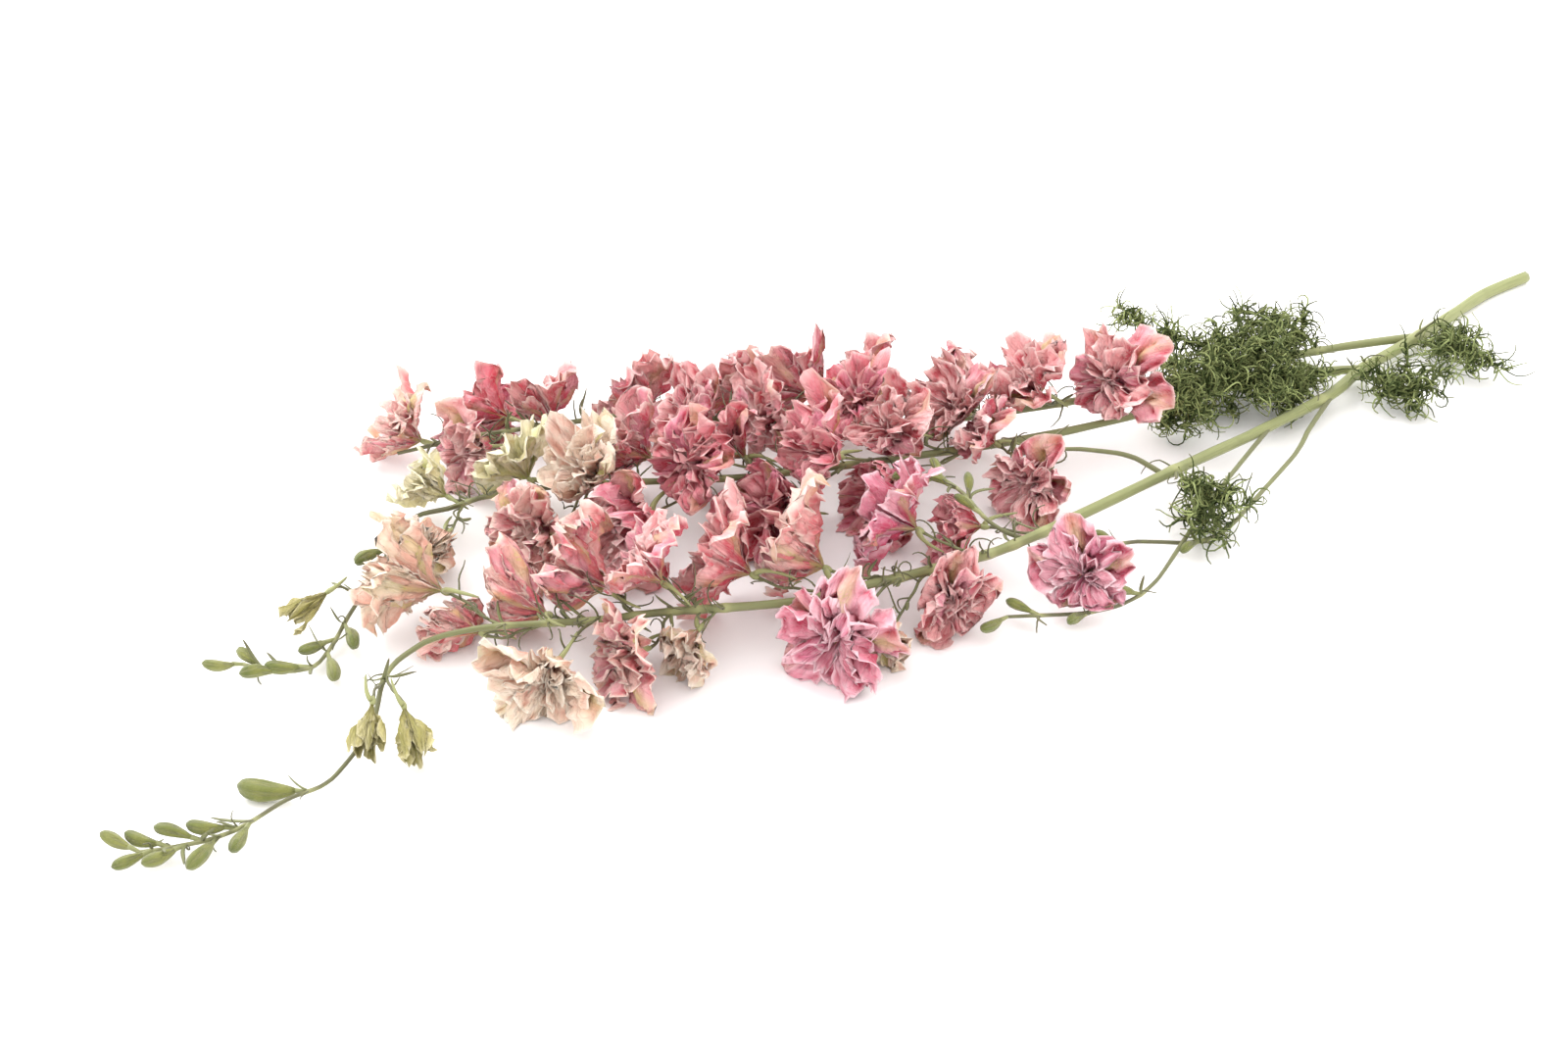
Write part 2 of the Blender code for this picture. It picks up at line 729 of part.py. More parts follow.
def stem_samples(routes, blooms):
    """Points down the middle of every stem and stalk, with radius and owner."""
    points, radii, owners = [], [], []

    def add(line, widths, owner, end_skip=0.0):
        total = sum(
            float(np.linalg.norm(b - a)) for a, b in zip(line, line[1:])
        )
        done = 0.0
        for a, b, wa, wb in zip(line, line[1:], widths, widths[1:]):
            size = float(np.linalg.norm(b - a))
            count = max(int(size / 1.2), 1)
            for i in range(count):
                t = i / count
                if done + size * t > total - end_skip:
                    break
                points.append(a + (b - a) * t)
                radii.append(wa + (wb - wa) * t)
                owners.append(owner)
            done += size

    for route in routes.values():
        line = [route.at(s)[0] for s in route.stations]
        widths = [route.at(s)[1] for s in route.stations]
        add(line, widths, -1)
    for bloom in blooms:
        add(bloom.stalk, bloom.stalk_radii, bloom.number)
        add(bloom.stalk, bloom.stalk_radii, -1, end_skip=9.0)
    for row in BUDS:
        start, head, direction, length = bud_place(row, routes)
        wide = length * 0.1
        line = [start, head, head + direction * length]
        add(line, [0.6, 0.6 + wide, 0.8 + wide], -1)
    return np.array(points), np.array(radii), np.array(owners)


def needle_path(rng, start, heading, length, curl):
    """A thin leaf segment that wanders and curls as it dried."""
    points = [start]
    ahead = heading
    axis = unit(np.array([rng.gauss(0, 1) for _ in range(3)]))
    for _ in range(3):
        wander = np.array([rng.uniform(-0.2, 0.2) for _ in range(3)])
        ahead = unit(ahead + np.cross(axis, ahead) * curl + wander)
        points.append(points[-1] + ahead * length / 3)
    return points


class Surroundings:
    """Everything near the leaves that they keep clear of."""

    def __init__(self, blooms, samples, sample_radii):
        self.samples = samples
        self.sample_radii = sample_radii
        self.centres = np.array([bloom.centre for bloom in blooms])
        self.reaches = np.array([bloom.length * 1.05 for bloom in blooms])
        self.leaves = []

    def clear_at(self, place):
        """Whether a thin leaf can pass through the place."""
        if not 0.7 <= place[2] <= 40:
            return False
        to_stems = np.linalg.norm(self.samples - place, axis=1) - self.sample_radii
        if (to_stems < 1.0).any():
            return False
        if (np.linalg.norm(self.centres - place, axis=1) < self.reaches).any():
            return False
        if not self.leaves:
            return True
        return not (np.linalg.norm(np.array(self.leaves) - place, axis=1) < 1.6).any()

    def clear(self, points):
        """Whether a thin leaf can follow the whole line of points."""
        return all(
            self.clear_at(a + (b - a) * t)
            for a, b in zip(points, points[1:])
            for t in (0.0, 0.33, 0.67, 1.0)
        )


def rib_line(row, routes, around):
    """The line of a leaf's rib from beside its stem to as far as it is free."""
    stem, root, side, rise, along, out = row
    route = routes[stem]
    start, radius = route.core(root), route.at(root)[1]
    outward = unit(route.right(root) * side + np.array((0, 0, rise)))
    foot = start + outward * (radius + PIECE_GAP)
    tip = foot + outward * out + route.heading(root) * along
    middle = (foot + tip) / 2 + np.array((0, 0, 4.0))
    rib = bezier(foot, foot + outward * out * 0.35, middle, tip, 5)
    for point in rib:
        point[2] = max(point[2], 1.4)
    usable = [rib[0]]
    first = rib[0] + (rib[1] - rib[0]) * 0.4
    for before, point in zip([first] + rib[1:], rib[1:]):
        if not around.clear([before, point]):
            break
        usable.append(point)
    return usable


def make_frond(number, row, routes, around, parent):
    """A finely cut leaf: a slim rib with curled needle-like segments."""
    name = f"frond_{number + 1:02d}"
    rng = random.Random(4000 + number)
    rib = rib_line(row, routes, around)
    widths = [0.55] + [0.85 - 0.06 * i for i in range(1, len(rib))]
    pieces = [tube(name + "_rib", rib, widths, 4)]
    mine = []
    for _ in range(600):
        if len(pieces) > NEEDLES_PER_FROND:
            break
        place = rng.uniform(0.15, 1.0) * (len(rib) - 1)
        i = min(int(place), len(rib) - 2)
        start = rib[i] + (rib[i + 1] - rib[i]) * (place - i)
        ahead = unit(rib[i + 1] - rib[i])
        spin = unit(np.cross(ahead, [rng.gauss(0, 1) for _ in range(3)]))
        size, curl = rng.uniform(11, 19), rng.uniform(0.2, 0.7)
        path = needle_path(rng, start, unit(ahead * 0.5 + spin), size, curl)
        halfway = path[0] + (path[1] - path[0]) * 0.5
        if not around.clear([halfway] + path[1:]):
            continue
        radii = [0.28, 0.5, 0.46, 0.38]
        pieces.append(tube(f"{name}_needle_{len(pieces)}", path, radii, 3))
        for a, b in zip(path, path[1:]):
            mine += [a + (b - a) * t for t in (0.0, 0.33, 0.67)]
        mine.append(path[-1])
    for a, b in zip(rib, rib[1:]):
        mine += [a + (b - a) * t for t in (0.0, 0.2, 0.4, 0.6, 0.8)]
    around.leaves += mine
    made = joined(name, pieces[0], pieces[1:])
    return finish(made, LEAF_GREEN, 0.8, parent)


def main():
    """Model the whole flower spike."""
    remove_all_objects()
    parent = bpy.data.objects.new(NAME, None)
    bpy.context.scene.collection.objects.link(parent)
    routes = {
        name: Route(points, FLAT_LENGTH if name == "main" else 0.0)
        for name, points in ROUTES.items()
    }
    blooms = [Bloom(i, row, routes) for i, row in enumerate(BLOOMS)]
    samples, sample_radii, owners = stem_samples(routes, blooms)
    for bloom in blooms:
        bloom.bound_by(blooms, samples, sample_radii, owners)
    made = [make_stem(routes, blooms, parent)]
    made += [make_bloom(bloom, parent) for bloom in blooms]
    around = Surroundings(blooms, samples, sample_radii)
    for i, row in enumerate(FRONDS):
        made.append(make_frond(i, row, routes, around, parent))
    for section in [o for o in bpy.data.objects if o.name.startswith("section_")]:
        bpy.data.objects.remove(section, do_unlink=True)
    parts = bpy.data.collections.new(NAME)
    bpy.context.scene.collection.children.link(parts)
    for piece in made + [parent]:
        bpy.context.scene.collection.objects.unlink(piece)
        parts.objects.link(piece)


main()
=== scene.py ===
"""A dried delphinium flower spike: the fine shapes and finishes of one cut stem.

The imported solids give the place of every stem, flower and leaf. Here each flower gets
its thin crumpled petals, the stems their ridges, nodes and bracts, the buds their folds
and the leaves their curled threads. Lengths are in millimetres until a mesh is made.
"""

from __future__ import annotations

import logging
import math
import random
from dataclasses import dataclass, field
from enum import Enum, IntEnum

import bpy
import numpy as np
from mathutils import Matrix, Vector

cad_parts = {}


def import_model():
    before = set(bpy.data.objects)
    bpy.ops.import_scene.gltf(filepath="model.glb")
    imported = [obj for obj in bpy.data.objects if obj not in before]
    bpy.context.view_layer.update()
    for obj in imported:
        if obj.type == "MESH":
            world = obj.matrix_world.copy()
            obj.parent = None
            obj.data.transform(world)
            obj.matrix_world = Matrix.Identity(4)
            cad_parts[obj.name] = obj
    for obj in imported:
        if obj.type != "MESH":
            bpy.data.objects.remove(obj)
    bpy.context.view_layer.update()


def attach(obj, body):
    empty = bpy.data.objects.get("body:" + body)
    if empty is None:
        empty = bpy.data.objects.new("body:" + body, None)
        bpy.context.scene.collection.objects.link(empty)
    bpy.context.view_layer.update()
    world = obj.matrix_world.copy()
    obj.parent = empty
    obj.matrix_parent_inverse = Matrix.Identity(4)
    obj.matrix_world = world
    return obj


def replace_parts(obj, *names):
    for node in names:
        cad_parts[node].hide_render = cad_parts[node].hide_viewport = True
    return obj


LOG = logging.getLogger("delphinium")
Array = np.ndarray
Node = bpy.types.Node
Socket = bpy.types.NodeSocket

MM = 0.001
BODY = "root"
UP = np.array((0.0, 0.0, 1.0))
# middle of the whole spike in the tables' own millimetres, moved over the origin
SHIFT = np.array((-7.58, -42.86, 0.0))

# the cut end's radius and height, and the length of the flat that it rests on
STEM_CUT_RADIUS = 2.7
FLAT_HEIGHT = STEM_CUT_RADIUS * math.cos(math.pi / 8)
FLAT_LENGTH = 16.0
# how far a straight stretch of the solid stem may stray from the true bend
LARGEST_SAG = 0.35
LARGEST_TURN = math.radians(26)
# gap between pieces that touch in the real thing, and between those that do not
PIECE_GAP = 0.3
CLEARANCE = 0.5
# lowest and highest places of the thin green parts over the table
LOWEST = 0.5
HIGHEST_LEAF = 40
# the stems' sample points: how far apart, and the owner of those that are on no stalk
SAMPLE_STEP = 1.2
NO_FLOWER = -1

# thickness of the room that a petal takes up, and the size of its mesh
PETAL_ROOM = 0.7
PETAL_MESH = 1.5
# fewest and most corners of a petal's net, across it and along it
NET_ACROSS = (7, 18)
NET_ALONG = (8, 20)
# half of a petal's thickness at its base, and how much less it is at the tip
HALF_THICK = 0.11
THINNER = 0.05
# an edge that turns by more than this is shaded as an edge
CRISP_TURN = math.radians(72)
# more petals than any flower has, which keeps the flowers' random numbers apart
MOST_PETALS = 40
# petal length from which a flower has five outer petals and a spur
SMALLEST_FULL_BLOOM = 15
# length of the heart behind the petals, and how strongly a green bell hangs
RECEPTACLE = 1.6
BELL_DROOP = 1.8
STAMENS_PER_FLOWER = 6
# how softly the table lifts a petal, and the share of its room where nothing presses it
FLOOR_SOFTNESS = 0.8
FREE_SHARE = 0.68

NEEDLES_PER_FROND = 8
THREADS_PER_FROND = 380
THREADS_PER_TUFT = 230
# tries at finding room for a leaf's stiff segments
MOST_TRIES = 600
# number of the first tuft, well past the leaves' own
FIRST_TUFT = 50
# how low a leaf's stiff segments may come, and how near to stems and other leaves
SEGMENT_LOWEST = 0.7
SEGMENT_TO_STEM = 1.0
SEGMENT_TO_LEAF = 1.6
# how low its thin threads may come, how near to stems, and how far into a flower's room
THREAD_LOWEST = 0.45
THREAD_TO_STEM = 0.4
THREAD_TO_HEAD = 0.82
# stem, and the reach along it that has a tuft of leaf threads
TUFT_REACHES = (("back", 24, 118), ("middle", 14, 104), ("main", 62, 176))
# places along a flower's stalk that have a thread-like bract
WIRE_SHARES = (0.3, 0.55, 0.8)
# lengths along the main stem where the side branches leave it
BRANCH_ROOTS = (80.0, 121.0, 330.0)
# by piece: corners round its stems, and their radius beside the solid's corners
STEM_ROUNDS = {"main_stem": (26, 0.915), "side_branches": (12, 0.94)}
# distance between a stem's rings, and reach of the swelling at a node
STEM_MESH = 2.3
KNUCKLE_REACH = 2.2
# radius from which a stem starts to look thin and young
YOUNG_RADIUS = 2.3
# corners of a bud's skin, along it and round it
BUD_ROWS, BUD_SIDES = 15, 21
# scale of a petal's or bud's own number in its patterns, so that no two are alike
TINT_STEP = 40.0


class Seed(IntEnum):
    """Where each kind of random draw starts, so that every run gives the same flower."""

    HEAD = 1000
    CRUMPLE = 1500
    OUTER_PETALS = 2000
    SEGMENTS = 4000
    INNER_PETALS = 5000
    THREADS = 6000
    LEAF_TINTS = 6500
    PETAL = 7000
    GREENERY = 9000
    WIRES = 9100
    STAMENS = 9500


# points of each stem from its root to its tip: x, y, z, radius
ROUTES = {
    "main": (
        (327, 6, FLAT_HEIGHT, 2.7), (319, 6, FLAT_HEIGHT, 2.7), (311, 6, FLAT_HEIGHT, 2.7),
        (303, 5.9, FLAT_HEIGHT + 0.02, 2.7), (292, 4, FLAT_HEIGHT + 0.15, 2.7), (279, 1, 3.0, 2.6),
        (247, -6, 4.2, 2.6), (206, -13, 6, 2.5), (180, -22, 8, 2.4), (134, -28, 10, 2.3),
        (103, -31, 12, 2.2), (80, -33, 13, 2.2), (34, -39, 16, 2.1), (-5, -42, 18, 1.9),
        (-36, -38, 19, 1.8), (-67, -31, 19, 1.7), (-85, -26, 19, 1.6), (-117, -8, 18, 1.5),
        (-142, 4, 17, 1.3), (-165, 20, 15, 1.2), (-185, 29, 13, 1.1), (-200, 27, 12, 1.0),
        (-209, 22, 10, 0.95), (-217, 11, 7, 0.9), (-226, 3, 5, 0.85), (-242, -7, 4, 0.8),
        (-255, -7, 4, 0.75), (-270, -11, 4, 0.7), (-283, -12, 5, 0.7), (-296, -8, 5, 0.65),
        (-303, -5, 5, 0.6),
    ),
    "back": (
        (247, -6, 4.2, 1.9), (221, -2, 8, 1.8), (174, 6, 12, 1.7), (128, 13, 14, 1.6),
        (76, 23, 16, 1.5), (28, 39, 17, 1.5), (-5, 58, 18, 1.4), (-30, 77, 18, 1.3),
        (-66, 107, 17, 1.1), (-83, 115, 16, 1.0), (-115, 130, 14, 0.9), (-134, 137, 12, 0.8),
        (-146, 142, 10, 0.7),
    ),
    "middle": (
        (206, -13, 6, 1.8), (180, -5, 9, 1.8), (152, -1, 12, 1.7), (128, 0, 14, 1.7),
        (93, 2, 15, 1.6), (52, 10, 16, 1.6), (14, 21, 17, 1.5), (-22, 33, 18, 1.4),
        (-56, 47, 18, 1.3), (-84, 63, 18, 1.2), (-110, 81, 16, 1.1), (-134, 91, 15, 1.0),
        (-148, 93, 14, 1.0), (-159, 98, 12, 0.9), (-170, 93, 10, 0.9), (-180, 83, 8, 0.85),
        (-192, 74, 6, 0.8), (-202, 66, 5, 0.8), (-211, 57, 4, 0.75), (-221, 49, 4, 0.7),
        (-229, 50, 4, 0.7), (-236, 56, 4, 0.65), (-242, 62, 5, 0.6),
    ),
    "side": (
        (80, -33, 13, 1.1), (74, -22, 17, 1.0), (63, -15, 20, 0.9), (52, -8, 21, 0.8),
        (43, -4, 21, 0.75), (34, 0, 20, 0.7),
    ),
    "front": (
        (180, -22, 8, 1.1), (154, -35, 8, 1.0), (140, -43, 7, 1.0), (105, -56, 5, 0.9),
        (88, -62, 4, 0.9), (78, -64, 4, 0.85), (68, -62, 4, 0.85), (58, -56, 5, 0.8),
        (47, -51, 6, 0.75), (30, -50, 8, 0.7), (17, -51, 9, 0.65),
    ),
    "low": (
        (142, -27, 10, 1.0), (108, -41, 8, 0.9), (74, -57, 7, 0.85), (42, -73, 5, 0.8),
        (24, -76, 4, 0.75), (8, -72, 4, 0.7), (-5, -66, 5, 0.7), (-16, -61, 6, 0.6),
    ),
    "spray": (
        (8, -41, 17, 0.9), (0, -38, 22, 0.8), (-4, -32, 26, 0.75), (-3, -20, 28, 0.7),
        (-3, -9, 28, 0.65), (-6, -1, 27, 0.6),
    ),
}

# by stem: where the stalk leaves it, then the head's place from there: along, to the
# right, and its height over the table; petal length, how open it is, and its colour
BLOOMS = {
    "main": (
        (342, 29, 22, 31, 31, 1.0, "lilac"), (350, 12, -14, 13, 25, 0.9, "pink"),
        (376, 34, -24, 18, 29, 1.0, "lilac"), (364, 26, -18, 10, 19, 0.7, "cream"),
        (376, 32, 20, 26, 34, 0.85, "blush"), (398, 42, 20, 26, 35, 0.9, "pink"),
        (438, 14, -13, 12, 21, 0.7, "cream"), (455, 21, -15, 14, 27, 0.9, "blush"),
        (447, 18, 9, 34, 28, 0.9, "pink"), (468, 22, 18, 24, 36, 0.7, "blush"),
        (484, 24, 13, 15, 32, 0.6, "blush"), (480, 14, -29, 14, 26, 0.8, "cream"),
        (511, 24, 27, 20, 35, 0.6, "cream"), (496, 31, 11, 10, 26, 0.7, "blush"),
        (559, 27, -4, 14, 21, 0.20, "green"), (557, 24, -15, 11, 21, 0.22, "green"),
        (316, 26, 23, 18, 29, 0.9, "rose"),
    ),
    "front": (
        (160, 24, -17, 17, 24, 1.0, "lilac"),
    ),
    "side": (
        (44, 12, -14, 16, 26, 0.9, "pink"), (57, 13, 10, 26, 22, 0.9, "pink"),
    ),
    "middle": (
        (180, 44, -18, 16, 34, 0.9, "rose"), (190, 26, -3, 33, 27, 0.9, "pink"),
        (208, 38, -12, 34, 28, 0.9, "rose"), (230, 34, -19, 16, 35, 0.9, "rose"),
        (248, 26, 12, 27, 26, 0.9, "rose"), (253, 36, -12, 34, 28, 0.9, "rose"),
        (276, 36, -26, 17, 36, 0.9, "pink"), (288, 24, 13, 26, 28, 0.9, "pink"),
        (305, 21, -12, 31, 26, 0.9, "cream"), (322, 28, -29, 16, 29, 0.85, "blush"),
        (329, 22, 12, 22, 26, 0.9, "white"), (360, 24, 11, 17, 21, 0.6, "white"),
        (370, 10, -18, 11, 23, 0.45, "cream"), (430, 15, 11, 11, 17, 0.25, "green"),
    ),
    "back": (
        (129, 32, -14, 31, 27, 1.0, "pink"), (172, 18, -2, 33, 27, 0.9, "pink"),
        (200, 18, 15, 22, 26, 0.9, "pink"), (205, 16, -14, 32, 26, 0.9, "pink"),
        (232, 19, 20, 23, 27, 0.9, "pink"), (236, 20, -7, 34, 27, 0.9, "rose"),
        (262, 17, 20, 24, 26, 0.9, "pink"), (268, 22, -12, 28, 26, 0.9, "pink"),
        (278, 25, 26, 19, 27, 0.9, "pink"), (300, 17, -12, 26, 28, 0.9, "pink"),
        (319, 21, 14, 18, 28, 0.9, "pink"), (357, 17, 11, 20, 25, 0.9, "pink"),
        (372, 21, 15, 13, 25, 0.9, "rose"), (386, 18, -14, 16, 23, 0.9, "pink"),
        (408, 20, 9, 15, 26, 0.8, "blush"),
    ),
}

# by stem: where the bud's stalk leaves it, side (+ right), turn upwards, length
BUDS = {
    "main": (
        (612, 1, 0, 19), (632, -1, 10, 12), (637, 1, 25, 12), (643, -1, 0, 13), (648, 1, 30, 12),
        (653, -1, 20, 12), (658, 1, 10, 12), (663, -1, 15, 11), (667, 1, 30, 11),
    ),
    "middle": (
        (396, -1, 35, 14), (406, 1, 30, 13), (416, -1, 10, 12), (446, -1, 20, 13), (454, 1, 30, 12),
        (461, -1, 5, 13), (470, 1, 20, 12), (479, -1, 30, 12), (487, 1, 0, 11), (494, -1, 20, 11),
    ),
    "back": (
        (398, 1, 30, 9),
    ),
    "front": (
        (118, -1, 20, 10), (148, 1, 50, 9),
    ),
    "low": (
        (120, 1, 40, 11), (142, -1, 20, 10), (160, 1, 20, 10), (177, -1, 5, 11),
    ),
    "spray": (
        (20, -1, 30, 9), (28, 1, 40, 9), (36, -1, 20, 9), (43, 1, 30, 9), (50, -1, 10, 10),
    ),
}

# by stem: where the leaf leaves it, side (+ right), rise, reach along the stem and out
FRONDS = {
    "main": (
        (86, -1, 0.2, 2, 34), (128, -1, 0.0, 6, 28), (160, 1, 0.2, 30, 22), (246, -1, -0.2, 8, 28),
    ),
    "back": (
        (52, 1, 0.4, 26, 26), (92, 1, 0.3, 26, 24), (66, -1, 0.9, 44, 10),
    ),
    "middle": (
        (62, 1, -0.1, 34, 14), (88, -1, 0.4, 34, 18), (30, -1, 0.3, 34, 14),
    ),
}


class Tone(Enum):
    """The colours of the flowers, by the record's name for each."""

    LILAC = "petal_lilac"
    PINK = "petal_pink"
    ROSE = "petal_rose"
    BLUSH = "petal_blush"
    CREAM = "petal_cream"
    WHITE = "petal_white"
    GREEN = "petal_green"


def linear(code: str) -> tuple[float, float, float, float]:
    """Turn a colour as written for a screen into linear light.

    Args:
        code: An sRGB colour such as "#D9738F".

    Returns:
        Linear red, green and blue, with an alpha of 1.
    """
    parts = [int(code[i : i + 2], 16) / 255 for i in (1, 3, 5)]
    red, green, blue = (
        c / 12.92 if c <= 0.04045 else ((c + 0.055) / 1.055) ** 2.4 for c in parts
    )
    return red, green, blue, 1.0


def per_mm(size: float) -> float:
    """Texture scale, in object space, of a pattern whose repeat is size in mm."""
    return 1 / (size * MM)


def add_node(
    tree: bpy.types.NodeTree,
    kind: str,
    inputs: dict[int | str, object] | None = None,
    **settings: object,
) -> Node:
    """Add one node with its settings, and fill or link its inputs.

    Args:
        tree: The material's node tree.
        kind: The shader node's type.
        inputs: For each socket's name or number, a value, a colour code or the
            output to link.
        settings: The node's own properties.

    Returns:
        The new node.
    """
    node = tree.nodes.new("ShaderNode" + kind)
    for name, value in settings.items():
        setattr(node, name, value)
    for socket, value in (inputs or {}).items():
        if isinstance(value, Socket):
            tree.links.new(value, node.inputs[socket])
        else:
            plain = linear(value) if isinstance(value, str) else value
            node.inputs[socket].default_value = plain
    return node


class Paint:
    """A material under way, with short ways to add to its node tree."""

    def __init__(self, name: str) -> None:
        """Start a material with an empty node tree.

        Args:
            name: The material's name.
        """
        self.material = bpy.data.materials.new(name)
        self.material.use_nodes = True
        self.tree = self.material.node_tree
        self.tree.nodes.clear()

    def node(self, kind: str, inputs: dict | None = None, **settings: object) -> Node:
        """Add one node to the material."""
        return add_node(self.tree, kind, inputs, **settings)

    def read(self, name: str) -> list[Socket]:
        """The three numbers that the mesh holds under this name at each place."""
        vector = self.node("Attribute", attribute_name=name).outputs["Vector"]
        return list(self.node("SeparateXYZ", {0: vector}).outputs)

    def place(self) -> Socket:
        """The place on the piece, in metres."""
        return self.node("TexCoord").outputs["Object"]

    def reckoned(self, operation: str, *values: object) -> Socket:
        """Work out one sum of numbers or outputs, by a Math node's operation."""
        return self.node("Math", dict(enumerate(values)), operation=operation).outputs[0]

    def product(self, first: object, *others: object) -> Socket:
        """Multiply numbers or outputs."""
        if not others:
            return first
        return self.reckoned("MULTIPLY", first, self.product(*others))

    def ranged(
        self, value: Socket, low: float, high: float, start: float = 0.0, end: float = 1.0
    ) -> Socket:
        """Stretch a value's range smoothly, and hold it at both ends.

        Args:
            value: The output to read.
            low: Where the range starts.
            high: Where it ends.
            start: The result at low.
            end: The result at high.

        Returns:
            The result's output.
        """
        inputs = {"Value": value, 1: low, 2: high, 3: start, 4: end}
        return self.node("MapRange", inputs, interpolation_type="SMOOTHSTEP").outputs[0]

    def stretched(self, values: tuple, scales: tuple) -> Socket:
        """Join three numbers, each times its scale, to a place in a pattern."""
        parts = [self.product(value, scale) for value, scale in zip(values, scales)]
        return self.node("CombineXYZ", dict(enumerate(parts))).outputs[0]

    def noise(self, place: Socket, scale: float, detail: float = 3.0, kind: str = "Fac") -> Socket:
        """Smooth noise over a place, as one number or, of the kind Color, as three."""
        inputs = {"Vector": place, "Scale": scale, "Detail": detail}
        return self.node("TexNoise", inputs).outputs[kind]

    def blend(self, share: object, under: object, over: object) -> Socket:
        """Mix a share of one colour over another; each is a code or an output."""
        inputs = {0: share, 6: under, 7: over}
        return self.node("Mix", inputs, data_type="RGBA").outputs[2]

    def coats(self, colour: object, *layers: tuple[object, object]) -> Socket:
        """Lay coats over a colour, one after the other.

        Args:
            colour: The ground, as a code or an output.
            layers: For each coat its share and its colour.

        Returns:
            The mixed colour's output.
        """
        for share, over in layers:
            colour = self.blend(share, colour, over)
        return colour

    def relief(self, strength: float, depth_mm: float, height: Socket) -> Socket:
        """Let the light fall as on a surface that is raised by the height."""
        inputs = {"Strength": strength, "Distance": depth_mm * MM, "Height": height}
        return self.node("Bump", inputs).outputs[0]

    def skin(self, colour: Socket, roughness: float, relief: Socket, more: dict) -> Socket:
        """The surface itself.

        Args:
            colour: Its colour.
            roughness: How matte it is.
            relief: Its fine relief.
            more: The surface's other inputs by name.

        Returns:
            The surface's output.
        """
        inputs = {"Base Color": colour, "Roughness": roughness, "Normal": relief, **more}
        return self.node("BsdfPrincipled", inputs).outputs[0]

    def done(self, surface: Socket) -> bpy.types.Material:
        """Give the material its surface."""
        self.node("OutputMaterial", {0: surface})
        return self.material


@dataclass(frozen=True)
class PetalReads:
    """What the petals' finish reads at each place.

    Attributes:
        along: How far along the petal, from 0 to 1.
        side: How far across it, from -1 to 1.
        edge: How close the rim is, 1 on it.
        tint: The petal's own random number.
        ring: 0 on the outer ring and 1 on the innermost.
        height: How far the creased surface stands out, from -1 to 1.
        outside: 1 on the back of the petal.
        patches: Broad noise.
        mottle: Fine noise.
    """

    along: Socket
    side: Socket
    edge: Socket
    tint: Socket
    ring: Socket
    height: Socket
    outside: Socket
    patches: Socket
    mottle: Socket

    @property
    def grid(self) -> tuple[Socket, Socket, Socket]:
        """Place across and along the petal, and the petal's own number."""
        return self.side, self.along, self.tint


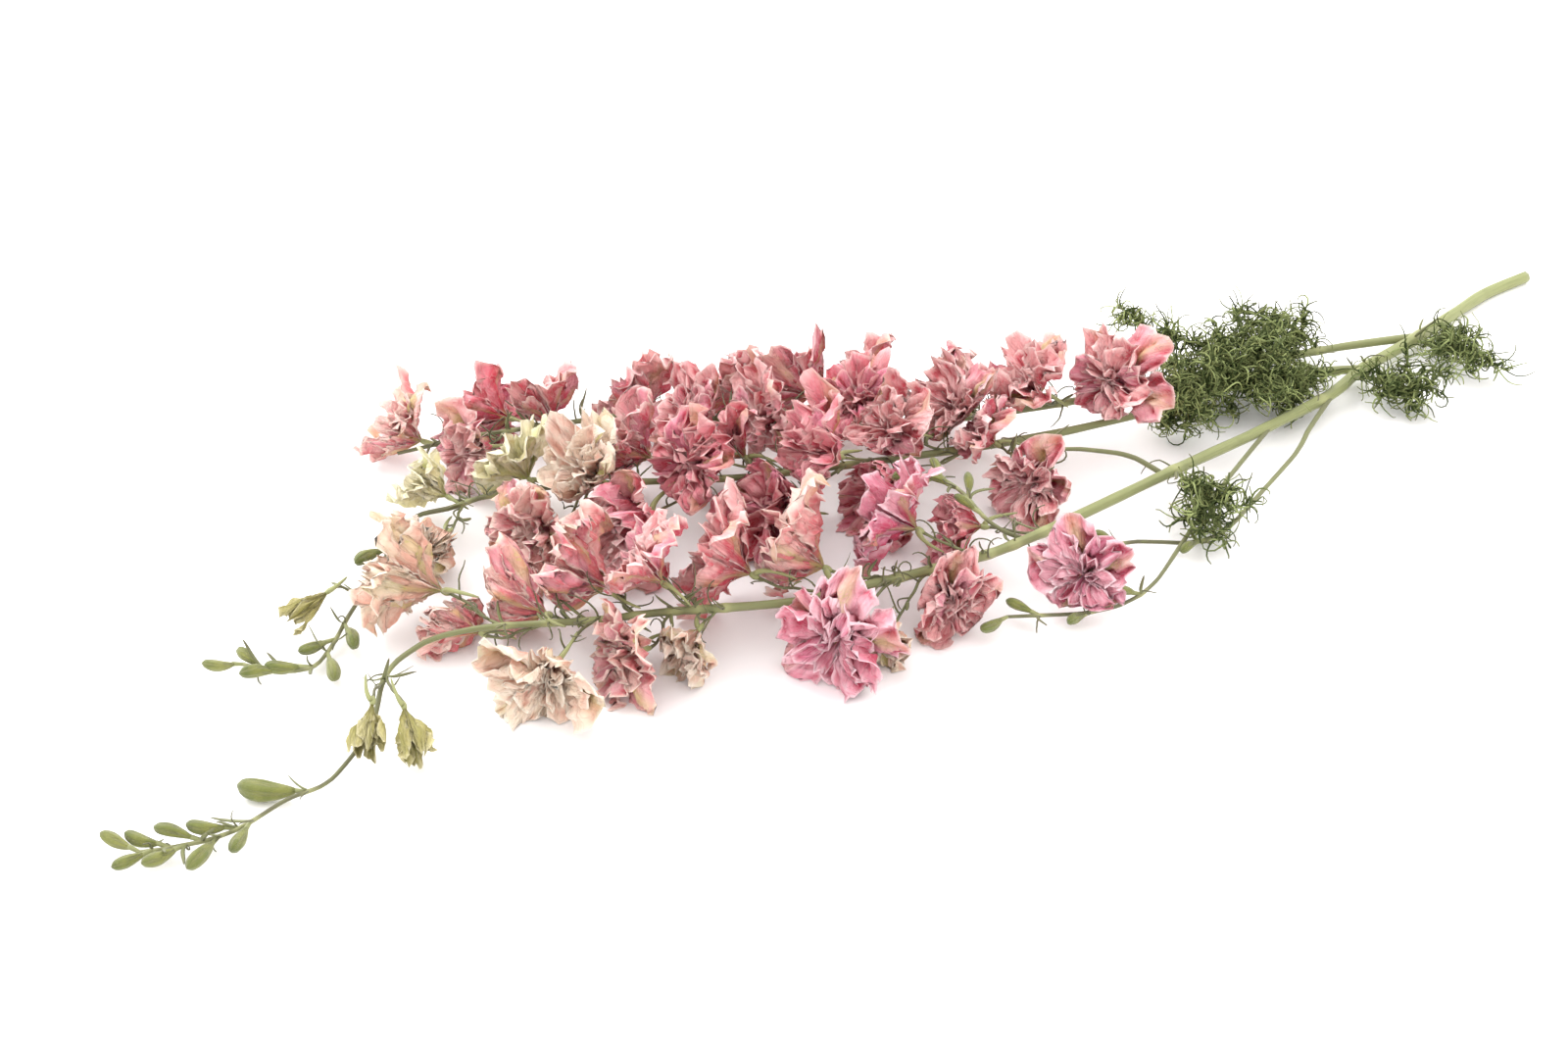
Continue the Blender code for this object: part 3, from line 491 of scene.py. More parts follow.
@dataclass(frozen=True)
class PetalFinish:
    """Petals of an air-dried larkspur: thin cells, crumpled and bleached at the rim.

    Drying leaves them matte like crepe paper, with a net of raised wrinkles that
    catch the light, and light from behind shows through them.
    """

    name: str
    # deep colour at the base, also laid as painted shade in crease hollows and inner rings
    heart: str
    face: str
    # pale edge colour, also laid as a painted highlight on crease crests
    rim: str
    rib: str
    flush: str = "#E088A8"
    flush_share: float = 0.5
    rib_share: float = 0.92
    roughness: float = 0.68
    sheen: float = 0.08
    glow: float = 0.17
    meshes_across: float = 11.0
    meshes_along: float = 5.0
    veins_across: float = 18.0
    veins_along: float = 1.6
    mottle_mm: float = 1.1
    patch_mm: float = 8.0
    crease_mm: float = 0.3

    def material(self) -> bpy.types.Material:
        """Build the finish.

        Returns:
            The material, which reads the petals' form and kind.
        """
        paint = Paint(self.name)
        along, side, edge = paint.read("petal_form")
        tint, ring, height = paint.read("petal_kind")
        outside = paint.read("petal_back")[0]
        place = paint.place()
        patches = paint.noise(place, per_mm(self.patch_mm), 2.0)
        mottle = paint.noise(place, per_mm(self.mottle_mm))
        reads = PetalReads(along, side, edge, tint, ring, height, outside, patches, mottle)
        net, veins = self.wrinkles(paint, reads), self.veins(paint, reads)
        colour = self.colours(paint, reads, net, veins)
        raised = paint.reckoned("MULTIPLY_ADD", net, 0.6, veins)
        raised = paint.reckoned("MULTIPLY_ADD", mottle, 0.5, raised)
        relief = paint.relief(0.9, self.crease_mm, raised)
        more = {"IOR": 1.42, "Specular IOR Level": 0.2}
        more |= {"Sheen Weight": self.sheen, "Sheen Roughness": 0.5}
        skin = paint.skin(colour, self.roughness, relief, more)
        deep = paint.blend(0.35, colour, self.heart)
        behind = paint.node("BsdfTranslucent", {"Color": deep, "Normal": relief}).outputs[0]
        both = paint.node("MixShader", {0: self.glow, 1: skin, 2: behind})
        return paint.done(both.outputs[0])

    def wrinkles(self, paint: Paint, reads: PetalReads) -> Socket:
        """The net of raised wrinkles, whose long meshes follow the veins.

        Args:
            paint: The material under way.
            reads: What it reads.

        Returns:
            The net's output, 1 on a wrinkle and 0 between.
        """
        scales = (self.meshes_across / 2, self.meshes_along, TINT_STEP)
        row = paint.stretched(reads.grid, scales)
        warp = {0: paint.noise(row, 1.1, kind="Color"), 1: (1.5, 1.5, 0.0), 2: row}
        push = paint.node("VectorMath", warp, operation="MULTIPLY_ADD").outputs[0]
        inputs = {"Vector": push, "Scale": 1.0}
        cells = paint.node("TexVoronoi", inputs, feature="DISTANCE_TO_EDGE")
        return paint.ranged(cells.outputs["Distance"], 0.0, 0.12, 1.0, 0.0)

    def veins(self, paint: Paint, reads: PetalReads) -> Socket:
        """Fine ridges that fan from the petal's base to its rim, 1 on a ridge."""
        scales = (self.veins_across / 2, self.veins_along, TINT_STEP)
        return paint.ranged(paint.noise(paint.stretched(reads.grid, scales), 1.0), 0.42, 0.66)

    def colours(self, paint: Paint, reads: PetalReads, net: Socket, veins: Socket) -> Socket:
        """The petal's colour: deep heart, pale rim, green rib, painted shade and highlights in creases.

        Args:
            paint: The material under way.
            reads: What it reads.
            net: The net of wrinkles.
            veins: The fan of ridges.

        Returns:
            The colour's output.
        """
        ranged, product, along = paint.ranged, paint.product, reads.along
        aged = ranged(along, 0.1, 0.75)
        # painted shade: the inner rings, deep in the flower, are mixed toward the heart colour
        painted_inner_shade = product(reads.ring, ranged(along, 0.35, 1.0, 0.5, 0.15))
        # painted highlight: the crests of the creases are mixed toward the pale rim colour
        ridge = product(ranged(reads.height, 0.25, 0.9, 0.0, 0.6), aged)
        worn = product(ranged(reads.edge, 0.2, 0.85), ranged(reads.mottle, 0.3, 0.7, 0.75, 1.0))
        middle = ranged(paint.reckoned("ABSOLUTE", reads.side), 0.06, 0.44, 1.0, 0.0)
        fading = ranged(along, 0.45, 1.0, 1.0, 0.35)
        outer = ranged(reads.ring, 0.05, 0.3, 1.0, 0.0)
        seen = paint.reckoned("MULTIPLY_ADD", reads.outside, 0.45, 0.55)
        band = product(product(middle, fading, outer), seen, self.rib_share)
        foot = product(ranged(along, 0.03, 0.24, 1.0, 0.0), outer)
        return paint.coats(
            self.heart,
            (ranged(along, 0.0, 0.55), self.face),
            (ranged(reads.patches, 0.42, 0.66, 0.0, 0.36), self.heart),
            # painted shade on the inner rings
            (painted_inner_shade, self.heart),
            (product(ranged(reads.tint, 0.55, 1.0, 0.0, 0.3), aged), self.rim),
            (ranged(reads.tint, 0.4, 0.05, 0.0, self.flush_share), self.flush),
            # painted shade: the hollows of the creases are mixed toward the heart colour
            (ranged(reads.height, 0.1, -0.6, 0.0, 0.76), self.heart),
            # painted highlight on the crease crests
            (ridge, self.rim),
            (product(product(net, 0.2), aged), self.rim),
            (ranged(reads.mottle, 0.45, 0.65, 0.0, 0.12), self.rim),
            (product(veins, 0.2), self.heart),
            (worn, self.rim),
            (product(band, ranged(reads.patches, 0.3, 0.55, 0.55, 1.0)), self.rib),
            (product(foot, 0.8), self.rib),
        )


@dataclass(frozen=True)
class StemFinish:
    """Herbaceous stem, dried green: smooth ribbed skin that is pale where it is thick.

    Strands run lengthwise under the skin, so its streaks are long and narrow. Thin
    young stalks dry darker, to an olive grey.
    """

    name: str
    thick: str
    thin: str
    streak: str
    scar: str
    roughness: float = 0.55
    streak_mm: float = 0.5
    streak_length: float = 0.06
    blotch_mm: float = 1 / 0.12

    def material(self) -> bpy.types.Material:
        """Build the finish.

        Returns:
            The material, which reads the stems' grain and kind.
        """
        paint = Paint(self.name)
        ranged = paint.ranged
        grain = paint.node("Attribute", attribute_name="stem_grain").outputs["Vector"]
        youth, node_mark, tint = paint.read("stem_kind")
        stretch = {"Vector": grain, "Scale": (1.0, 1.0, self.streak_length)}
        streaks = paint.noise(paint.node("Mapping", stretch).outputs[0], 1 / self.streak_mm)
        blotches = paint.noise(grain, 1 / self.blotch_mm, 4.0)
        colour = paint.coats(
            self.thick,
            (youth, self.thin),
            (ranged(streaks, 0.45, 0.7, 0.0, 0.55), self.streak),
            (ranged(blotches, 0.5, 0.7, 0.0, 0.45), self.streak),
            (ranged(tint, 0.3, 1.0, 0.0, 0.3), self.thick),
            (paint.product(node_mark, 0.7), self.scar),
        )
        relief = paint.relief(0.6, 0.12, streaks)
        more = {"IOR": 1.45, "Sheen Weight": 0.15}
        return paint.done(paint.skin(colour, self.roughness, relief, more))


@dataclass(frozen=True)
class LeafFinish:
    """Larkspur leaf threads, dried: a dull dark green with a paler, twisted back."""

    name: str
    dark: str
    light: str
    dry: str
    roughness: float = 0.7
    patch_mm: float = 5.0
    grain_mm: float = 0.6

    def material(self) -> bpy.types.Material:
        """Build the finish.

        Returns:
            The material, which reads the stems' kind.
        """
        paint = Paint(self.name)
        ranged = paint.ranged
        tip, _, tint = paint.read("stem_kind")
        place = paint.place()
        patches = paint.noise(place, per_mm(self.patch_mm))
        fine = paint.noise(place, per_mm(self.grain_mm), 2.0)
        colour = paint.coats(
            self.dark,
            (ranged(tint, 0.1, 1.0), self.light),
            (ranged(patches, 0.45, 0.7, 0.0, 0.6), self.dark),
            (ranged(tip, 0.6, 1.0, 0.0, 0.4), self.dry),
        )
        relief = paint.relief(0.5, 0.1, fine)
        more = {"IOR": 1.42, "Specular IOR Level": 0.25}
        return paint.done(paint.skin(colour, self.roughness, relief, more))


@dataclass(frozen=True)
class BudFinish:
    """Closed larkspur buds, dried: downy green sepals with pale seams between them."""

    name: str
    base: str
    tip: str
    seam: str
    roughness: float = 0.75
    down_mm: float = 0.35
    patch_mm: float = 4.0

    def material(self) -> bpy.types.Material:
        """Build the finish.

        Returns:
            The material, which reads the buds' form.
        """
        paint = Paint(self.name)
        ranged = paint.ranged
        along, seam, tint = paint.read("bud_form")
        place = paint.place()
        down, patches = (paint.noise(place, per_mm(mm)) for mm in (self.down_mm, self.patch_mm))
        shrunk = paint.noise(paint.stretched((seam, along, tint), (3.0, 2.0, TINT_STEP)), 1.6)
        colour = paint.coats(
            self.base,
            (ranged(along, 0.45, 1.0, 0.0, 0.75), self.tip),
            (ranged(patches, 0.45, 0.7, 0.0, 0.5), self.tip),
            (paint.product(seam, 0.6), self.seam),
            (ranged(tint, 0.4, 1.0, 0.0, 0.35), self.seam),
            (ranged(down, 0.5, 0.75, 0.0, 0.35), self.seam),
            (ranged(shrunk, 0.52, 0.7, 0.0, 0.5), self.tip),
        )
        relief = paint.relief(0.9, 0.25, paint.reckoned("MULTIPLY_ADD", shrunk, 3.0, down))
        more = {"IOR": 1.42, "Sheen Weight": 0.3}
        return paint.done(paint.skin(colour, self.roughness, relief, more))


# each heart colour also serves as painted shade, each rim colour as painted highlight
PETAL_FINISHES = {
    Tone.LILAC: PetalFinish("dried_petal_lilac", "#BC1E4A", "#F0ACBB", "#F6D6DC", "#CBBA86"),
    Tone.PINK: PetalFinish("dried_petal_pink", "#C2203E", "#F6BDBC", "#F8DAD5", "#CDB984"),
    Tone.ROSE: PetalFinish("dried_petal_rose", "#B6122F", "#EF98A3", "#F4C9C6", "#C2AA74"),
    Tone.BLUSH: PetalFinish(
        "dried_petal_blush", "#D25A64", "#F8CEC5", "#F8E4D8", "#D2C682", rib_share=1.0
    ),
    Tone.CREAM: PetalFinish(
        "dried_petal_cream", "#DCA08C", "#F3E3CB", "#F5ECDC", "#C0BA70", flush_share=0.15, rib_share=0.9
    ),
    Tone.WHITE: PetalFinish(
        "dried_petal_white", "#DBD196", "#F3EDCC", "#F5F0D8", "#BFC46C", flush_share=0.0, rib_share=0.9
    ),
    Tone.GREEN: PetalFinish(
        "dried_petal_green", "#A69E5A", "#BFB780", "#D2CBA0", "#8E8C42", flush_share=0.0, rib_share=1.0
    ),
}
STEM_FINISH = StemFinish("dried_green_stem", "#8D935F", "#58573D", "#747A49", "#A5A774")
LEAF_FINISH = LeafFinish("dried_leaf_thread", "#34411C", "#9AA66C", "#7A7A48")
BUD_FINISH = BudFinish("dried_bud_skin", "#777B3A", "#515E28", "#96965A")
STAMEN_FINISH = LeafFinish("dried_stamen", "#7A5628", "#C6A858", "#9A7838")


def unit(vector: Array) -> Array:
    """Scale a vector, or each row of several, to length 1."""
    return vector / np.linalg.norm(vector, axis=-1, keepdims=True)


def columns(*values: Array | float) -> Array:
    """Put values side by side, a row for each place along a line."""
    return np.stack(np.broadcast_arrays(*values), axis=1)


def progress(line: Array) -> Array:
    """Even numbers from 0 to 1, one for each point of a line."""
    return np.linspace(0, 1, len(line))


def any_way(rng: random.Random) -> Array:
    """Draw a direction, of any length."""
    return np.array([rng.gauss(0, 1) for _ in range(3)])


def anywhere(rng: random.Random, reach: float) -> Array:
    """Draw a small shift, of at most the reach each way."""
    return np.array([rng.uniform(-reach, reach) for _ in range(3)])


def lifted(points: Array, level: float = LOWEST) -> Array:
    """Raise the points that lie lower than the level, in place."""
    points[..., 2] = np.maximum(points[..., 2], level)
    return points


def lengths_along(line: Array) -> Array:
    """Length along a line at each of its points."""
    steps = np.linalg.norm(np.diff(line, axis=0), axis=1)
    return np.concatenate([[0.0], np.cumsum(steps)])


def bezier(a: Array, b: Array, c: Array, d: Array, steps: int) -> Array:
    """Points of a cubic curve.

    Args:
        a: The first point.
        b: The first handle.
        c: The second handle.
        d: The last point.
        steps: How many stretches the curve is cut into.

    Returns:
        The points, one a row and one more than the steps.
    """
    points = [
        a * (1 - t) ** 3 + b * 3 * t * (1 - t) ** 2 + c * 3 * t**2 * (1 - t) + d * t**3
        for t in (i / steps for i in range(steps + 1))
    ]
    return np.array(points)


def smooth(points: Array | list[Array], steps: int) -> Array:
    """Round off a line of points with a Catmull-Rom curve.

    Args:
        points: The line's points.
        steps: New points for each stretch.

    Returns:
        The finer line, with a point a row.
    """
    rows = []
    for i in range(len(points) - 1):
        before, start = points[max(i - 1, 0)], points[i]
        end, after = points[i + 1], points[min(i + 2, len(points) - 1)]
        turn = 2 * before - 5 * start + 4 * end - after
        twist = 3 * start - before - 3 * end + after
        for t in (step / steps for step in range(steps)):
            rows.append(0.5 * (2 * start + (end - before) * t + turn * t**2 + twist * t**3))
    rows.append(points[-1])
    return np.array(rows)


class Strand:
    """A stem's line through its points, read by length along it."""

    def __init__(self, points: tuple, lead: float = 0.0) -> None:
        """Curve the line.

        Args:
            points: Rows of x, y, z and radius from the root to the tip.
            lead: Length of the straight flat start, if there is one.
        """
        self.lead = lead
        self.rows = smooth([np.array(row, float) for row in points], 16)
        self.lengths = lengths_along(self.rows[:, :3])
        self.length = float(self.lengths[-1])
        self.stations = self.rings()

    def at(self, s: float) -> tuple[Array, float]:
        """Point and radius at the length s."""
        row = [np.interp(s, self.lengths, self.rows[:, k]) for k in range(4)]
        return np.array(row[:3]), float(row[3])

    def core(self, s: float) -> Array:
        """Point at the length s on the middle line of the solid stem."""
        knots = np.array([self.at(station)[0] for station in self.stations])
        return np.array([np.interp(s, self.stations, knots[:, k]) for k in range(3)])

    def heading(self, s: float) -> Array:
        """Direction of growth at the length s."""
        low, high = max(s - 1.5, 0), min(s + 1.5, self.length)
        return unit(self.at(high)[0] - self.at(low)[0])

    def right(self, s: float) -> Array:
        """Level direction to the right of the growth."""
        ahead = self.heading(s)
        return unit(np.array((ahead[1], -ahead[0], 0.0)))

    def rings(self) -> list[float]:
        """Lengths at which the solid stem has a ring.

        Returns:
            The lengths in order, closer where the stem turns.
        """
        stations = [0.0, self.lead] if self.lead else [0.0]
        for before, s in zip(self.lengths[1:-1], self.lengths[2:]):
            if before <= stations[-1]:
                continue
            ahead, last = self.heading(s), self.heading(stations[-1] + 0.01)
            turn = math.acos(max(-1.0, min(1.0, float(ahead @ last))))
            if (s - stations[-1]) * turn / 8 > LARGEST_SAG or turn > LARGEST_TURN:
                stations.append(float(before))
        if self.length - stations[-1] < 3 and len(stations) > 1:
            stations.pop()
        return stations + [self.length]

    def line(self, step: float) -> tuple[Array, Array]:
        """Points along the solid stem's middle, and their lengths along it.

        Args:
            step: About how far apart the points are.

        Returns:
            The points, with one a row, and their lengths.
        """
        count = max(int(self.length / step), 2)
        lengths = np.linspace(0, self.length, count + 1)
        core = np.array([self.core(s) for s in lengths])
        true = np.array([self.at(s)[0] for s in lengths])
        return (core + true) / 2, lengths


class Stock:
    """Gathers the shapes of one piece: corners, faces and what its finish reads."""

    def __init__(self, *traits: str) -> None:
        """Start empty, with the names of the attributes that every shape gives."""
        self.points: list[Array] = []
        self.faces: list[Array] = []
        self.traits: dict[str, list[Array]] = {name: [] for name in traits}
        self.count = 0

    def add(self, points: Array, faces: list[Array], *traits: Array) -> None:
        """Add one shape.

        Args:
            points: Its corners, one a row, in millimetres.
            faces: Its faces, as arrays of corner numbers with a face a row.
            traits: For each attribute, a row for each corner.
        """
        self.points.append(points)
        self.faces += [part + self.count for part in faces if len(part)]
        for rows, values in zip(self.traits.values(), traits):
            rows.append(values)
        self.count += len(points)

    def build(
        self, name: str, material: bpy.types.Material, slot: str, crisp: bool = False
    ) -> bpy.types.Object:
        """Make the piece, and let it ride with the flower.

        Args:
            name: The piece's name.
            material: Its finish.
            slot: The record's material slot; not used.
            crisp: Whether the edges of its sheets are shaded as edges.

        Returns:
            The new object.
        """
        points = (np.concatenate(self.points) + SHIFT) * MM
        corners = np.concatenate([part.ravel() for part in self.faces])
        sizes = np.concatenate([np.full(len(part), part.shape[1]) for part in self.faces])
        starts = np.concatenate([[0], np.cumsum(sizes)[:-1]])
        mesh = bpy.data.meshes.new(name)
        mesh.vertices.add(len(points))
        mesh.vertices.foreach_set("co", points.astype(np.float32).ravel())
        mesh.loops.add(len(corners))
        mesh.loops.foreach_set("vertex_index", corners.astype(np.int32))
        mesh.polygons.add(len(starts))
        mesh.polygons.foreach_set("loop_start", starts.astype(np.int32))
        for trait, rows in self.traits.items():
            attribute = mesh.attributes.new(trait, "FLOAT_VECTOR", "POINT")
            values = np.concatenate(rows).astype(np.float32)
            attribute.data.foreach_set("vector", values.ravel())
        mesh.update(calc_edges=True)
        mesh.validate()
        mesh.shade_smooth()
        if crisp:
            mesh.set_sharp_from_angle(angle=CRISP_TURN)
        mesh.materials.append(material)
        made = bpy.data.objects.new(name, mesh)
        bpy.context.scene.collection.objects.link(made)
        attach(made, BODY)
        LOG.info("%s: %d faces", name, len(starts))
        return made


def green_stock() -> Stock:
    """Start a piece of stems, stalks or threads."""
    return Stock("stem_grain", "stem_kind")


def net_faces(rows: int, across: int, closed: bool = False) -> Array:
    """Four-sided faces of a net of corners, numbered row by row.

    Args:
        rows: Rows of corners.
        across: Corners in each row.
        closed: Whether the last column joins the first.

    Returns:
        The faces, one a row.
    """
    i, j = np.meshgrid(np.arange(rows - 1), np.arange(across if closed else across - 1), indexing="ij")
    near, far = i.ravel() * across, (i.ravel() + 1) * across
    here, following = j.ravel(), (j.ravel() + 1) % across
    return columns(near + here, near + following, far + following, far + here)


def fan_faces(ring: Array, turned: bool) -> Array:
    """Triangles that close a ring of corners.

    Args:
        ring: The ring's corner numbers in order.
        turned: Whether the faces look the other way.

    Returns:
        The triangles, one a row.
    """
    first, middle, last = ring[0], ring[1:-1], ring[2:]
    return columns(first, last, middle) if turned else columns(first, middle, last)


def tube_faces(rows: int, sides: int) -> list[Array]:
    """Faces of a closed tube: its wall and its two ends.

    Args:
        rows: Rings of corners.
        sides: Corners in each ring.

    Returns:
        The faces of each, as arrays with a face a row.
    """
    first = np.arange(sides)
    ends = [fan_faces(first, turned=True), fan_faces(first + (rows - 1) * sides, turned=False)]
    return [net_faces(rows, sides, closed=True), *ends]


@dataclass
class Tube:
    """A tapering stem, stalk or thread that is swept along a line.

    Attributes:
        line: Points down its middle.
        radii: Radius at each point.
        sides: Corners round it.
        ribs: Number of lengthwise ribs.
        relief: Height of the ribs as a share of the radius.
        flat: Width of the flattened direction as a share of the other.
        level: Whether one side faces straight down all along.
    """

    line: Array
    radii: Array
    sides: int = 6
    ribs: int = 0
    relief: float = 0.0
    flat: float = 1.0
    level: bool = False

    def frames(self) -> tuple[Array, Array]:
        """Two directions across the tube at each point.

        Returns:
            The sideways and the upward direction, one a row.
        """
        ahead = unit(np.gradient(self.line, axis=0) + 1e-9)
        sides, ups = [], []
        start = UP if abs(ahead[0][2]) < 0.9 else np.array((1.0, 0.0, 0.0))
        side = unit(np.cross(start, ahead[0]))
        for direction in ahead:
            if self.level:
                side = unit(np.cross(UP, direction))
            else:
                side = unit(side - direction * (side @ direction))
            sides.append(side)
            ups.append(np.cross(direction, side))
        return np.array(sides), np.array(ups)

    def add_to(self, stock: Stock, kind: Array | tuple = (0.0, 0.0, 0.0)) -> None:
        """Put the tube into a piece that has the stem's grain and kind.

        Args:
            stock: The piece.
            kind: What the finish reads, the same all over or with a row for each point.
        """
        sides, ups = self.frames()
        angle = np.arange(self.sides) * math.tau / self.sides
        if self.level:
            angle = angle - math.pi / 2 + math.pi / self.sides
        swell = 1 + self.relief * np.cos(self.ribs * angle) if self.ribs else 1.0
        cos, sin = np.cos(angle) * swell, np.sin(angle) * swell * self.flat
        radii = np.asarray(self.radii, float)[:, None]
        points = self.line[:, None, :] + radii[:, :, None] * (
            sides[:, None, :] * cos[None, :, None] + ups[:, None, :] * sin[None, :, None]
        )
        along = lengths_along(self.line)[:, None]
        grain = np.broadcast_arrays(radii * np.cos(angle), radii * np.sin(angle), along)
        count = len(self.line)
        kinds = np.broadcast_to(np.asarray(kind, float), (count, 3))
        kinds = np.repeat(kinds[:, None, :], self.sides, axis=1)
        flat = (part.reshape(-1, 3) for part in (np.stack(grain, axis=2), kinds))
        stock.add(points.reshape(-1, 3), tube_faces(count, self.sides), *flat)


class Ripple:
    """A smooth random field over a petal, made of a few waves."""

    def __init__(self, rng: random.Random, coarse: float, fine: float, waves: int = 5) -> None:
        """Draw the waves.

        Args:
            rng: The petal's own random numbers.
            coarse: The lowest frequency.
            fine: The highest frequency.
            waves: How many waves there are.
        """
        self.waves = []
        for _ in range(waves):
            turn, rate = rng.uniform(0, math.tau), rng.uniform(coarse, fine)
            phase = rng.uniform(0, math.tau)
            self.waves.append((rate * math.cos(turn), rate * math.sin(turn), phase))

    def __call__(self, across: Array, along: Array) -> Array:
        """The field at each place, about -1 to 1."""
        total = sum(np.sin(x * across + y * along + phase) for x, y, phase in self.waves)
        return total / (0.6 * len(self.waves))


class Crumple:
    """Creased paper: triangle waves of several sizes, laid over one another."""

    def __init__(self, rng: random.Random, sizes: tuple[float, ...], stray: float) -> None:
        """Draw the creases.

        Args:
            rng: The petal's own random numbers.
            sizes: Their distances in millimetres.
            stray: How far they stray from running along the petal, in radians.
        """
        self.waves = []
        for size in np.repeat(sizes, 2):
            turn = rng.gauss(0, stray)
            rate = math.tau / (size * rng.uniform(0.8, 1.25))
            x, y = rate * math.cos(turn), rate * math.sin(turn)
            self.waves.append((x, y, rng.uniform(0, math.tau), size))
        self.height = sum(2 * size for size in sizes)

    def __call__(self, x: Array, y: Array) -> Array:
        """The creased height at each place.

        Args:
            x: Places across the petal, in millimetres.
            y: Places along it.

        Returns:
            The heights, at most the creases' sizes together.
        """
        total = 0.0
        for across, along, phase, size in self.waves:
            bend = 0.7 * np.sin(0.23 * x + 0.19 * y + 3 * phase)
            turn = across * x + along * y + phase + bend
            total = total + size * np.arcsin(np.sin(turn)) * 2 / math.pi
        return total


@dataclass
class Petal:
    """One petal's place in its flower.

    Attributes:
        turn: Its angle round the flower.
        length: From its base to its tip.
        half: Half the angle that it spans.
        start: Its lean from the flower's axis at the base.
        end: Its lean at the tip.
        phase: Start of its broad waves.
        wave: Start of its narrow waves.
        depth: 0 for the outer ring to 1 for the innermost.
    """

    turn: float
    length: float
    half: float
    start: float
    end: float
    phase: float
    wave: float
    depth: float


@dataclass(frozen=True)
class Whorl:
    """One of a double flower's rings of petals inside the outer one.

    Attributes:
        count: Petals in the ring.
        scale: Their length beside the outer ones.
        start: Their lean from the axis at the base, in degrees, when fully open.
        end: Their lean at the tip.
        depth: 0 for the outer ring to 1 for the innermost.
    """

    count: int
    scale: float
    start: float
    end: float
    depth: float


INNER_WHORLS = (
    Whorl(count=6, scale=0.88, start=27, end=72, depth=0.3),
    Whorl(count=6, scale=0.72, start=14, end=52, depth=0.6),
    Whorl(count=4, scale=0.5, start=4, end=28, depth=1.0),
)


@dataclass(frozen=True)
class Samples:
    """Points down the middle of every stem, stalk and bud.

    Attributes:
        points: The points, one a row.
        radii: The stem's radius at each point.
        owners: The flower whose stalk each point is on, or -1.
    """

    points: Array
    radii: Array
    owners: Array


